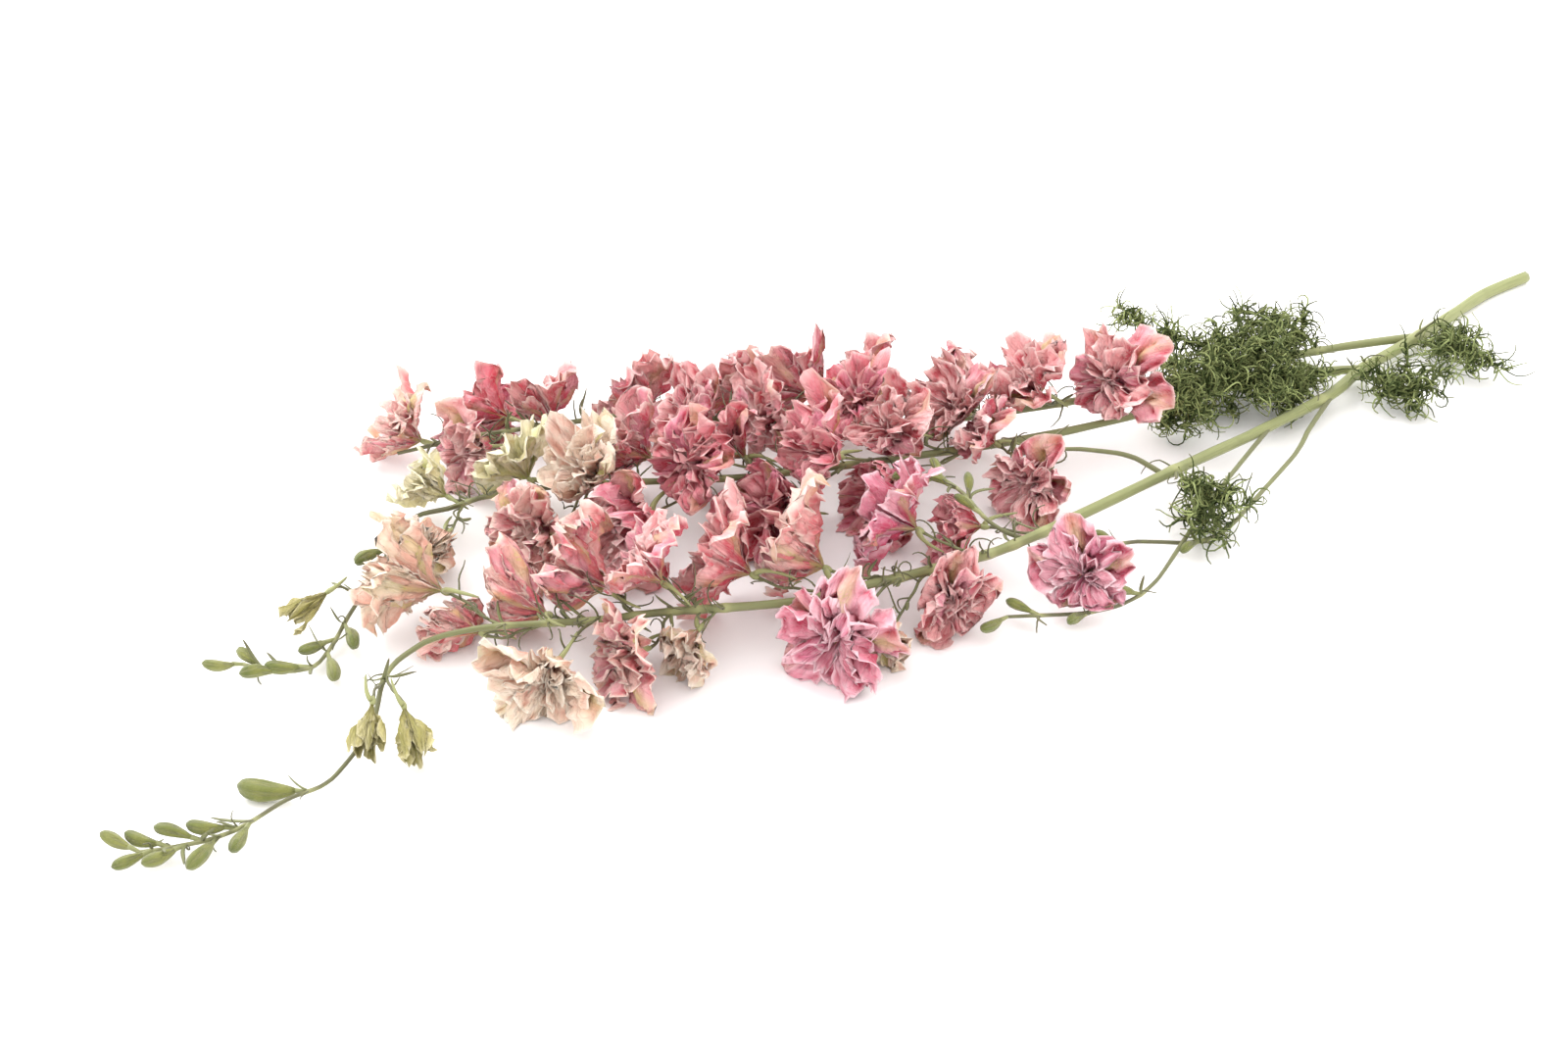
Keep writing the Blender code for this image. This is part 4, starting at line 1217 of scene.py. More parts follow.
class FlowerHead:
    """One dried flower: its place, its room among its neighbours, and its petals."""

    def __init__(self, number: int, row: tuple, strands: dict[str, Strand]) -> None:
        """Place the flower.

        Args:
            number: Its number in the table.
            row: Its row of the table.
            strands: The stems by name.
        """
        stem, root, along, out, height, length, openness, tone = row
        self.number, self.length, self.openness = number, length, openness
        self.tone = Tone[tone.upper()]
        self.bell = self.tone is Tone.GREEN
        strand = strands[stem]
        start = strand.core(root)
        self.centre = self.head_place(strand, root + along, out, height)
        reach = unit(self.centre - start)
        rng = random.Random(Seed.HEAD + number)
        sway = anywhere(rng, 0.4)
        sway[2] += 0.25
        if self.bell:
            sway[2] -= BELL_DROOP
        self.facing = unit(reach + sway * openness)
        self.base = self.centre - self.facing * 0.42 * length
        self.reach = 0.5 * length * (0.55 + 0.45 * openness) + 0.3 * length
        self.stalk = self.stalk_line(start, strand.heading(root) + reach)
        steps = len(self.stalk) - 1
        self.stalk_radii = [0.35] + [0.75 - 0.1 * i / steps for i in range(steps)]
        self.crumpled = random.Random(Seed.CRUMPLE + number).uniform(0.75, 1.25)
        self.normals = np.zeros((0, 3))
        self.limits = np.zeros(0)

    @property
    def name(self) -> str:
        """The name of the solid that this flower stands for."""
        return f"bloom_{self.number + 1:02d}"

    def head_place(self, strand: Strand, s: float, out: float, height: float) -> Array:
        """Middle of the head, beside the stem or past its end.

        Args:
            strand: The stem.
            s: Length along it.
            out: Distance to its right.
            height: Height over the table.

        Returns:
            The point.
        """
        last = min(s, strand.length)
        past = strand.heading(strand.length) * max(s - strand.length, 0)
        place = strand.at(last)[0] + past + strand.right(last) * out
        place[2] = height
        return place

    def stalk_line(self, start: Array, leave: Array) -> Array:
        """The stalk's bent line, from inside the stem to just short of the heart.

        Args:
            start: Where it leaves the stem.
            leave: The direction in which it leaves.

        Returns:
            Its points.
        """
        end = self.base - self.facing * (RECEPTACLE + PIECE_GAP)
        third = np.linalg.norm(end - start) * 0.35
        return bezier(start, start + unit(leave) * third, end - self.facing * third, end, 3)

    def stalk_place(self, share: float) -> tuple[Array, Array]:
        """A place on the stalk.

        Args:
            share: How far along the stalk it is, from 0 to 1.

        Returns:
            The point and the direction of growth there.
        """
        line = smooth(self.stalk, 5)
        i = min(int(share * len(line)), len(line) - 2)
        return line[i], unit(line[i + 1] - line[i])

    def bound_by(self, others: list[FlowerHead], samples: Samples) -> None:
        """Find the flat bounds of the room that the petals have among neighbours.

        Args:
            others: Every flower.
            samples: What the petals keep clear of.
        """
        planes = []
        for other in others:
            away = other.centre - self.centre
            distance = np.linalg.norm(away)
            if other is self or distance > self.reach * 2 + other.reach * 2:
                continue
            share = self.reach / (self.reach + other.reach)
            planes.append((away / distance, distance * share - PETAL_ROOM / 2 - CLEARANCE / 2))
        offsets = samples.points - self.centre
        distances = np.linalg.norm(offsets, axis=1)
        nearby = (distances < self.length * 1.5) & (samples.owners != self.number)
        margin = PETAL_ROOM / 2 + CLEARANCE
        for normal, limit in planes:
            nearby &= ~(offsets @ normal - samples.radii - margin >= limit)
        while nearby.any():
            nearest = int(np.argmin(np.where(nearby, distances - samples.radii, np.inf)))
            normal = offsets[nearest] / distances[nearest]
            limit = distances[nearest] - samples.radii[nearest] - margin
            planes.append((normal, limit))
            nearby &= ~(offsets @ normal - samples.radii - margin >= limit - 1e-6)
        self.normals = np.array([normal for normal, _ in planes]).reshape(-1, 3)
        self.limits = np.maximum(np.array([limit for _, limit in planes]), 0.5)

    def fitted(self, points: Array) -> Array:
        """Press points softly back into the room, and up from the table.

        Args:
            points: Points of a petal, one a row.

        Returns:
            The points where they are let to be.
        """
        points = points.copy()
        level = PETAL_ROOM / 2 + 0.01
        lift = (points[:, 2] - level) / FLOOR_SOFTNESS
        raised = level + FLOOR_SOFTNESS * np.log1p(np.exp(np.minimum(lift, 30)))
        points[:, 2] = np.where(lift < 30, raised, points[:, 2])
        offsets = points - self.centre
        shares = np.maximum(offsets @ self.normals.T / self.limits, 0.0)
        share = (shares**8).sum(axis=1) ** 0.125
        rest = 1 - FREE_SHARE
        pressed = FREE_SHARE + rest * (1 - np.exp(-(share - FREE_SHARE) / rest))
        factor = np.where(share > FREE_SHARE, pressed / np.maximum(share, 1e-6), 1.0)
        return self.centre + offsets * factor[:, None]

    def outer_petals(self) -> list[Petal]:
        """The outer ring, which the solid has too.

        Returns:
            Its petals.
        """
        rng = random.Random(Seed.OUTER_PETALS + self.number)
        count = 5 if self.length >= SMALLEST_FULL_BLOOM else 4
        sector = math.pi / count
        first = rng.uniform(0, math.tau)
        petals = []
        for i in range(count):
            scale = rng.uniform(0.88, 1.08)
            end = math.radians(88 * self.openness + 14 + rng.uniform(-14, 14))
            if self.bell:
                end = math.radians(rng.uniform(17, 25))
            turn = first + (2 * i + rng.uniform(-0.12, 0.12)) * sector
            half = sector * rng.uniform(0.78, 0.9)
            phase, wave = rng.uniform(0, math.tau), rng.uniform(0, math.tau)
            start = math.radians(40 * self.openness + 7)
            half *= 1.25 if self.bell else 1.08
            petals.append(Petal(turn, self.length * scale, half, start, end, phase, wave, 0.0))
        return petals

    def inner_petals(self) -> list[Petal]:
        """The rings inside, which fill a double flower.

        Returns:
            Their petals, ring by ring.
        """
        rng = random.Random(Seed.INNER_PETALS + self.number)
        petals = []
        for whorl in INNER_WHORLS[1:] if self.bell else INNER_WHORLS:
            sector = math.pi / whorl.count
            first = rng.uniform(0, math.tau)
            for i in range(whorl.count):
                lean = rng.uniform(-20, 20) * (0.3 if self.bell else 1.0)
                petals.append(
                    Petal(
                        turn=first + (2 * i + rng.uniform(-0.25, 0.25)) * sector,
                        length=self.length * whorl.scale * rng.uniform(0.85, 1.1),
                        half=sector * rng.uniform(0.85, 1.15),
                        start=math.radians(whorl.start * self.openness + 5),
                        end=math.radians(whorl.end * self.openness + 14 + lean),
                        phase=rng.uniform(0, math.tau),
                        wave=rng.uniform(0, math.tau),
                        depth=whorl.depth,
                    )
                )
        return petals

    def sheet(
        self, petal: Petal, across: Array, along: Array, rim: Array, rng: random.Random
    ) -> tuple[Array, Array]:
        """A petal's middle surface, cupped, creased and pressed into the room.

        Args:
            petal: The petal.
            across: Places from -1 to 1 across it.
            along: Places from 0 to 1 along it.
            rim: How close the rim is, 1 on it.
            rng: The petal's own random numbers.

        Returns:
            A point for each place, and how far it stands out, from -1 to 1.
        """
        side = unit(np.cross(self.facing, (0.31, 0.17, 0.94)))
        up = np.cross(self.facing, side)
        long = petal.length
        x_mm = across * petal.half * (0.25 + 0.75 * along) * long
        y_mm = along * long
        sway = Ripple(rng, 1.5, 3.5)
        folds = Crumple(rng, (0.55 * long + 3, 0.26 * long + 2.5), 0.55)
        pleats = Crumple(rng, (6.4, 4.6), 0.5)
        fringe = Crumple(rng, (5.0, 3.8), 1.2)
        angle = petal.turn + across * petal.half + 0.16 * along * sway(across, along)
        radial = side * np.cos(angle)[:, None] + up * np.sin(angle)[:, None]
        bend = petal.end - petal.start + rng.uniform(-0.3, 0.3) * across
        tilt = petal.start + bend * along
        out = long / bend * (math.cos(petal.start) - np.cos(tilt))
        rise = long / bend * (np.sin(tilt) - math.sin(petal.start))
        inward = self.facing * np.sin(tilt)[:, None] - radial * np.cos(tilt)[:, None]
        cup = rng.uniform(-0.02, 0.24) * long * across**2 * along
        crease = rng.gauss(0, 0.16) * np.abs(x_mm) * along
        broad = 0.06 * np.sin(2.6 * across + 4 * along + petal.phase)
        broad = broad + 0.035 * np.sin(5 * across - 5 * along + petal.wave)
        turned = rng.uniform(0.2, 0.65) if self.bell else rng.uniform(-0.55, 0.65)
        curl = turned * np.maximum(along - 0.62, 0) ** 1.4 * long
        folded, pleated = folds(x_mm, y_mm), pleats(x_mm, y_mm)
        grown = np.minimum(along / 0.5, 1.0) * (0.4 if self.bell else 1.0)
        depth = cup + crease + along * long * broad + curl
        depth = depth + grown * self.crumpled * (0.085 * folded + 0.15 * pleated)
        depth = depth + 0.19 * grown * self.crumpled * rim * fringe(x_mm, y_mm)
        point = self.base + self.facing * (rise + 0.8)[:, None]
        point = point + radial * (out + 0.35)[:, None] + inward * depth[:, None]
        share = np.minimum(along / 0.25, 1.0)[:, None]
        height = np.clip(1.1 * folded / folds.height + 1.1 * pleated / pleats.height, -1, 1)
        return point * (1 - share) + self.fitted(point) * share, height

    def add_petal(self, stock: Stock, petal: Petal, number: int) -> None:
        """Put one petal into the flower's piece, as a thin closed sheet.

        Args:
            stock: The piece.
            petal: The petal.
            number: Its number in the flower.
        """
        rng = random.Random(Seed.PETAL + self.number * MOST_PETALS + number)
        width = 2 * petal.length * petal.half * 0.7
        step = PETAL_MESH * (1 + 0.25 * petal.depth)
        wide = int(np.clip(round(width / step) + 1, *NET_ACROSS))
        rows = int(np.clip(round(petal.length / step) + 1, *NET_ALONG))
        sideways, upwards = np.linspace(-1, 1, wide), np.linspace(0, 1, rows)
        sideways = sideways * (1.22 - 0.22 * sideways**2)
        u, v = np.meshgrid(sideways, 1 - (1 - upwards) ** 1.25)
        ragged = Ripple(rng, 4, 15, 6)
        teeth = np.array([rng.uniform(-1, 1) for _ in range(wide)])[None, :]
        shoulder = rng.uniform(0.2, 0.42)
        tip = 1 - shoulder * np.abs(u) ** 2.4 + 0.07 * ragged(u * 1.0, 0 * v) + 0.026 * teeth
        notch = 0.14 * np.exp(-(((u - rng.uniform(-0.4, 0.4)) / 0.16) ** 2)) * rng.uniform(0, 1)
        along = (0.02 + 0.98 * v) * (tip - notch * v)
        belly = 0.55 + 0.45 * np.sin(np.clip(v * 1.25, 0, 1) * math.pi / 2)
        nibbled = np.array([rng.uniform(-1, 1) for _ in range(rows)])[:, None]
        across = u * belly * (1 + 0.10 * v * ragged(0 * u, v * 1.3 + 3) + 0.03 * nibbled)
        gap = np.minimum((1 - np.abs(u)) * width / 2, (1 - v) * petal.length)
        rim, softer = np.exp(-gap / 1.4), np.exp(-gap / 3.0)
        flat = self.sheet(petal, across.ravel(), along.ravel(), softer.ravel(), rng)
        middle, height = (part.reshape(rows, wide, -1) for part in flat)
        slopes = np.cross(np.gradient(middle, axis=1), np.gradient(middle, axis=0))
        normal = unit(slopes + 1e-12)
        thick = (HALF_THICK - THINNER * v)[:, :, None]
        faces = [middle + normal * thick, middle - normal * thick]
        points = lifted(np.concatenate([part.reshape(-1, 3) for part in faces]), 0.03)
        own, depth = np.full(u.shape, rng.random()), np.full(u.shape, petal.depth)
        form, kind = (
            np.tile(np.stack(reads, axis=2).reshape(-1, 3), (2, 1))
            for reads in ((v, u, rim), (own, depth, height[:, :, 0]))
        )
        back = np.zeros(form.shape)
        back[rows * wide :, 0] = 1.0
        stock.add(points, self.sheet_faces(rows, wide), form, kind, back)

    @staticmethod
    def sheet_faces(rows: int, wide: int) -> list[Array]:
        """Faces of a thin closed sheet: its inner face, its outer face and its rim.

        Args:
            rows: Rows of corners on one face.
            wide: Corners in each row.

        Returns:
            The faces; the corners of the inner face come first.
        """
        size = rows * wide
        net = net_faces(rows, wide)
        edge = np.concatenate(
            [
                np.arange(wide),
                np.arange(1, rows) * wide + wide - 1,
                np.arange(wide - 2, -1, -1) + (rows - 1) * wide,
                np.arange(rows - 2, 0, -1) * wide,
            ]
        )
        following = np.roll(edge, -1)
        band = columns(edge + size, following + size, following, edge)
        return [net, net[:, ::-1] + size, band]

    def build(self, finish: bpy.types.Material) -> bpy.types.Object:
        """Make the flower's petals.

        Args:
            finish: The petals' material.

        Returns:
            The piece, which stands for the flower's solid.
        """
        stock = Stock("petal_form", "petal_kind", "petal_back")
        for number, petal in enumerate(self.outer_petals() + self.inner_petals()):
            self.add_petal(stock, petal, number)
        name = f"petals_{self.number + 1:02d}"
        made = stock.build(name, finish, self.tone.value, crisp=True)
        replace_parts(made, self.name)
        return made


def rows_of(table: dict[str, tuple]) -> list[tuple]:
    """The rows of a table in order, each with its stem's name in front."""
    return [(stem, *row) for stem, rows in table.items() for row in rows]


def sideways(rng: random.Random, ahead: Array, lowest: float) -> Array:
    """Draw a direction across a line, turned round where it points lower than lowest."""
    out = unit(np.cross(ahead, any_way(rng)))
    return -out if out[2] < lowest else out


def between(points: Array | list[Array], shares: tuple[float, ...]) -> list[Array]:
    """Points at these shares of each stretch of a line."""
    return [a + (b - a) * t for a, b in zip(points, points[1:]) for t in shares]


def offshoot(
    rng: random.Random, line: Array | list[Array], low: float, high: float
) -> tuple[Array, Array, Array]:
    """Draw a place where a thread leaves a line.

    Args:
        rng: The leaf's own random numbers.
        line: The points of the line.
        low: The lowest share of the line's points at which it may be.
        high: The highest one.

    Returns:
        The place, the line's direction there, and a direction across the line.
    """
    place = rng.uniform(low, high) * (len(line) - 1)
    i = min(int(place), len(line) - 2)
    stretch = line[i + 1] - line[i]
    ahead = unit(stretch)
    return line[i] + stretch * (place - i), ahead, unit(np.cross(ahead, any_way(rng)))


def thread_path(
    rng: random.Random, start: Array, heading: Array, length: float, curl: float, steps: int
) -> Array:
    """A thin leaf segment that wanders and curls as it dried.

    Args:
        rng: The leaf's own random numbers.
        start: Where it begins.
        heading: The direction in which it begins.
        length: Its length.
        curl: How strongly it bends.
        steps: How many stretches it has.

    Returns:
        Its points, one a row.
    """
    points = [start]
    ahead = heading
    axis = unit(any_way(rng))
    for _ in range(steps):
        ahead = unit(ahead + np.cross(axis, ahead) * curl + anywhere(rng, 0.2))
        points.append(points[-1] + ahead * length / steps)
    return np.array(points)


def bud_place(row: tuple, strands: dict[str, Strand]) -> tuple[Array, Array, Array, float]:
    """Where a bud sits on its short stalk.

    Args:
        row: Its row of the table.
        strands: The stems by name.

    Returns:
        The stalk's root, the bud's base, its direction and its length.
    """
    stem, root, side, rise, length = row
    strand = strands[stem]
    root = min(root, strand.length - 0.5)
    start = strand.core(root)
    lift = math.radians(rise)
    across = strand.right(root) * side * 0.55 * math.cos(lift)
    direction = unit(strand.heading(root) * 0.85 + across + UP * 0.55 * math.sin(lift))
    return start, start + direction * (3.5 if length < 12 else 4.5), direction, length


def stem_samples(strands: dict[str, Strand], heads: list[FlowerHead]) -> Samples:
    """Points down the middle of every stem, stalk and bud.

    Args:
        strands: The stems by name.
        heads: The flowers.

    Returns:
        The points, with the radius and the flower of each.
    """
    points, radii, owners = [], [], []

    def add(
        line: Array | list[Array], widths: list[float], owner: int, end_skip: float = 0.0
    ) -> None:
        """Add points along a line, up to end_skip short of its end."""
        sizes = [float(np.linalg.norm(b - a)) for a, b in zip(line, line[1:])]
        total, done = sum(sizes), 0.0
        for k, size in enumerate(sizes):
            count = max(int(size / SAMPLE_STEP), 1)
            for t in (i / count for i in range(count)):
                if done + size * t > total - end_skip:
                    break
                points.append(line[k] + (line[k + 1] - line[k]) * t)
                radii.append(widths[k] + (widths[k + 1] - widths[k]) * t)
                owners.append(owner)
            done += size

    for strand in strands.values():
        rows = [strand.at(s) for s in strand.stations]
        add([point for point, _ in rows], [radius for _, radius in rows], NO_FLOWER)
    for head in heads:
        add(head.stalk, head.stalk_radii, head.number)
        add(head.stalk, head.stalk_radii, NO_FLOWER, end_skip=9.0)
    for row in rows_of(BUDS):
        start, foot, direction, length = bud_place(row, strands)
        wide = length * 0.1
        line = [start, foot, foot + direction * length]
        add(line, [0.6, 0.6 + wide, 0.8 + wide], NO_FLOWER)
    return Samples(np.array(points), np.array(radii), np.array(owners))


@dataclass
class Greenery:
    """The stems, stalks, bracts and buds: all that the stem's solid stands for.

    Attributes:
        strands: The stems by name.
        heads: The flowers.
        rng: Random numbers of the stalks, knobs, broad bracts and buds.
        rng_wires: Random numbers of the thread-like bracts.
    """

    strands: dict[str, Strand]
    heads: list[FlowerHead]
    rng: random.Random = field(default_factory=lambda: random.Random(Seed.GREENERY))
    rng_wires: random.Random = field(default_factory=lambda: random.Random(Seed.WIRES))

    def leaving(self, name: str) -> list[float]:
        """Lengths along a stem where something leaves it."""
        roots = [row[0] for table in (BLOOMS, BUDS, FRONDS) for row in table.get(name, ())]
        return sorted(roots + [s for s in BRANCH_ROOTS if name == "main"])

    def knuckles(self, name: str, lengths: Array) -> Array:
        """How close each length along a stem is to a node, 1 on one.

        Args:
            name: The stem's name.
            lengths: Lengths along it.

        Returns:
            A value for each length.
        """
        marks = np.zeros(len(lengths))
        for s in self.leaving(name):
            marks = np.maximum(marks, np.exp(-(((lengths - s) / KNUCKLE_REACH) ** 2)))
        return marks

    def add_strand(self, stock: Stock, name: str, sides: int, slim: float) -> None:
        """Put one stem into a piece, ridged and swollen at its nodes.

        Args:
            stock: The piece.
            name: The stem's name.
            sides: Corners round it.
            slim: Its radius as a share of the solid's corner radius.
        """
        strand = self.strands[name]
        line, lengths = strand.line(STEM_MESH)
        marks = self.knuckles(name, lengths)
        lead = np.clip((lengths - FLAT_LENGTH) / 20, 0, 1) if strand.lead else 1.0
        wobble = np.sin(lengths / 11) * 0.03 + np.sin(lengths / 4.3) * 0.015
        radii = np.array([strand.at(s)[1] for s in lengths]) * slim
        radii = radii * (1 + 0.16 * marks * lead)
        radii = radii * (1 + wobble * lead)
        youth = np.clip((YOUNG_RADIUS - radii) / 1.5, 0, 1)
        kind = columns(youth, marks * lead, 0.5 + 0.5 * np.sin(lengths / 37))
        ribs = 7 if radii[0] > 1.6 else 5
        Tube(line, radii, sides, ribs, 0.045, level=True).add_to(stock, kind)

    def add_stalk(self, stock: Stock, head: FlowerHead) -> None:
        """Put one flower's stalk into a piece, slightly kinked as it dried.

        Args:
            stock: The piece.
            head: The flower.
        """
        points = smooth(head.stalk, 5)
        kink = Ripple(self.rng, 0.5, 1.6, 3)
        t = progress(points)
        side = unit(np.cross(points[-1] - points[0], UP))
        sway = 0.55 * np.sin(t * math.pi) * kink(t * 12, t * 0)
        points = lifted(points + side[None, :] * sway[:, None], 0.7)
        radii = 0.58 - 0.14 * t + 0.35 * np.exp(-t * 14) + 0.25 * np.exp(-(1 - t) * 9)
        kind = columns(0.75 + 0.25 * t, np.exp(-t * 10), self.rng.random())
        Tube(points, radii, 8, 3, 0.10).add_to(stock, kind)

    def add_receptacle(self, stock: Stock, head: FlowerHead) -> None:
        """Put the knob behind a flower's petals and its spur into a piece.

        Args:
            stock: The piece.
            head: The flower.
        """
        rng = self.rng
        end = head.stalk[-1]
        t = np.linspace(0, 1, 7)
        line = end + head.facing * ((t * 3.6 - 0.3)[:, None])
        radii = 0.5 + 0.055 * head.length**0.75 * np.sin(t * math.pi * 0.85 + 0.15)
        tint = rng.random()
        Tube(line, radii, 10, 5, 0.06).add_to(stock, (0.1, 0.55, tint))
        if head.length < SMALLEST_FULL_BLOOM:
            return
        across = unit(np.cross(head.facing, (rng.gauss(0, 1), rng.gauss(0, 1), 1.0)))
        if across[2] < 0:
            across = -across
        size, back = 0.36 * head.length, -head.facing
        start = end + head.facing * 1.6 + across * 0.8
        first = start + (across * 0.8 + back * 0.3) * size * 0.4
        second = start + (across * 0.6 + back * 0.9) * size * 0.7
        tip = start + (across * 0.45 + back * 1.1) * size + UP * rng.uniform(-1, 1.5)
        line = lifted(bezier(start, first, second, tip, 9), 1.3)
        t = progress(line)
        radii = (1.0 - 0.62 * t) * (0.7 + 0.012 * head.length)
        radii[-1] *= 0.5
        Tube(line, radii, 8, 4, 0.12).add_to(stock, columns(t * 0.4, 0.8 - 0.5 * t, tint))

    def add_bracts(self, stock: Stock) -> None:
        """Put the narrow bracts on the stalks and at the nodes into a piece.

        Args:
            stock: The piece.
        """
        rng = self.rng
        for head in self.heads:
            for share in (0.12, rng.uniform(0.4, 0.6)):
                self.add_blade(stock, *head.stalk_place(share), 0.45, rng.uniform(5, 10))
            for share in () if head.bell else WIRE_SHARES:
                self.add_wire(stock, *head.stalk_place(share), 0.3, 1.0)
        for name, strand in self.strands.items():
            for s in self.leaving(name):
                if s > strand.length - 4 or s < FLAT_LENGTH + 6:
                    continue
                point, radius = strand.at(s)
                ahead = strand.heading(s)
                self.add_blade(stock, point, ahead, radius * 0.8, rng.uniform(7, 15))
                self.add_wire(stock, point, ahead, radius * 0.7, min(radius / 1.6, 1.0))

    def add_wire(
        self, stock: Stock, point: Array, ahead: Array, radius: float, grown: float
    ) -> None:
        """Put one thread-like bract into a piece, dried to a dark curled wire.

        Args:
            stock: The piece.
            point: The middle of the stalk or stem where it grows.
            ahead: The direction of growth there.
            radius: The stalk's radius.
            grown: Its length beside a full-grown one.
        """
        rng = self.rng_wires
        out = sideways(rng, ahead, 0)
        way = unit(ahead * rng.uniform(0.2, 1.0) + out)
        size, curl = rng.uniform(9, 17) * grown, rng.uniform(0.15, 0.6)
        line = lifted(thread_path(rng, point + out * radius, way, size, curl, 9))
        t = progress(line)
        kind = columns(0.85 + 0.15 * t, 0.0, rng.random() * 0.3)
        Tube(line, 0.42 - 0.22 * t, 4).add_to(stock, kind)

    def add_blade(
        self, stock: Stock, point: Array, ahead: Array, radius: float, size: float
    ) -> None:
        """Put one curled strap-like bract into a piece.

        Args:
            stock: The piece.
            point: The middle of the stalk or stem where it grows.
            ahead: The direction of growth there.
            radius: The stalk's radius.
            size: Its length.
        """
        rng = self.rng
        out = sideways(rng, ahead, -0.3)
        bend = unit(ahead * rng.uniform(-0.6, 1.2) + out + UP * rng.uniform(-0.5, 0.3))
        start = point + out * radius
        first, second = start + unit(ahead + out * 0.6) * size * 0.35, start + bend * size * 0.7
        tip = start + bend * size * 0.9 + out * rng.uniform(-0.3, 0.3) * size
        line = lifted(bezier(start, first, second, tip, 9))
        t = progress(line)
        radii = 0.62 * np.sin(np.clip(t * 0.85 + 0.15, 0, 1) * math.pi) ** 0.7 + 0.10
        kind = columns(0.6 + 0.4 * t, 0.0, rng.random())
        Tube(line, radii, 5, flat=0.3).add_to(stock, kind)

    def add_bud(self, skins: Stock, stalks: Stock, row: tuple) -> None:
        """Put one club-shaped bud and its stalk into their pieces.

        Args:
            skins: The piece of buds.
            stalks: The piece of stalks.
            row: The bud's row of the table.
        """
        rng = self.rng
        start, foot, direction, length = bud_place(row, self.strands)
        wide = length * 0.185
        centre = foot + direction * (length / 2 - 1.0)
        centre[2] = max(centre[2], wide + 0.3)
        foot = centre - direction * length / 2
        inside = foot + direction * 1.2
        third = direction * (np.linalg.norm(inside - start) / 3)
        line = bezier(start, start + third, inside - third, inside, 6)
        radii = np.linspace(0.6, 0.85, len(line))
        Tube(line, radii, 8, 3, 0.08).add_to(stalks, (0.35, 0.4, rng.random()))
        angle = np.arange(BUD_SIDES) * math.tau / BUD_SIDES
        along, around = np.meshgrid(np.linspace(0, 1, BUD_ROWS), angle, indexing="ij")
        half = np.where(along < 0.62, 0.64, 0.385)
        club = np.sqrt(np.clip(1 - np.abs((along - 0.62) / half) ** 2.3, 0, 1))
        club = club * (0.62 + 0.38 * np.clip(along / 0.55, 0, 1))
        seam_angle = (around * 5 / math.tau + 0.35 * along + rng.random()) % 1.0
        seam = np.exp(-((np.minimum(seam_angle, 1 - seam_angle) / 0.11) ** 2))
        dent = Ripple(rng, 1.5, 5)(np.cos(around) * 1.3 + along, np.sin(around) * 1.3)
        reach = wide * club * (1 - 0.24 * seam * np.sin(along * math.pi) + 0.11 * dent)
        side = unit(np.cross(direction, (0.2, 0.5, 0.9)))
        up = np.cross(direction, side)
        bend = side * rng.uniform(-1, 1) + up * rng.uniform(-1, 1)
        shifts = (
            (direction, along * length),
            (side, reach * np.cos(around)),
            (up, reach * np.sin(around)),
            (bend, 0.07 * length * np.sin(along * math.pi)),
        )
        points = foot
        for way, share in shifts:
            points = points + way * share[:, :, None]
        points = lifted(points, 0.05).reshape(-1, 3)
        form = np.stack(np.broadcast_arrays(along, seam, rng.random()), axis=2)
        skins.add(points, tube_faces(BUD_ROWS, BUD_SIDES), form.reshape(-1, 3))

    def build(self, stem: bpy.types.Material, bud: bpy.types.Material) -> None:
        """Make every green piece.

        Args:
            stem: The stems' finish.
            bud: The buds' finish.
        """
        names = ("main_stem", "side_branches", "flower_stalks", "flower_knobs", "bracts")
        pieces = {name: green_stock() for name in names}
        buds = Stock("bud_form")
        for name in self.strands:
            piece = "main_stem" if name == "main" else "side_branches"
            self.add_strand(pieces[piece], name, *STEM_ROUNDS[piece])
        for head in self.heads:
            self.add_stalk(pieces["flower_stalks"], head)
            self.add_receptacle(pieces["flower_knobs"], head)
        self.add_bracts(pieces["bracts"])
        for row in rows_of(BUDS):
            self.add_bud(buds, pieces["flower_stalks"], row)
        for name, stock in pieces.items():
            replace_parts(stock.build(name, stem, "stem_green"), "stem")
        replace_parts(buds.build("green_buds", bud, "stem_green"), "stem")


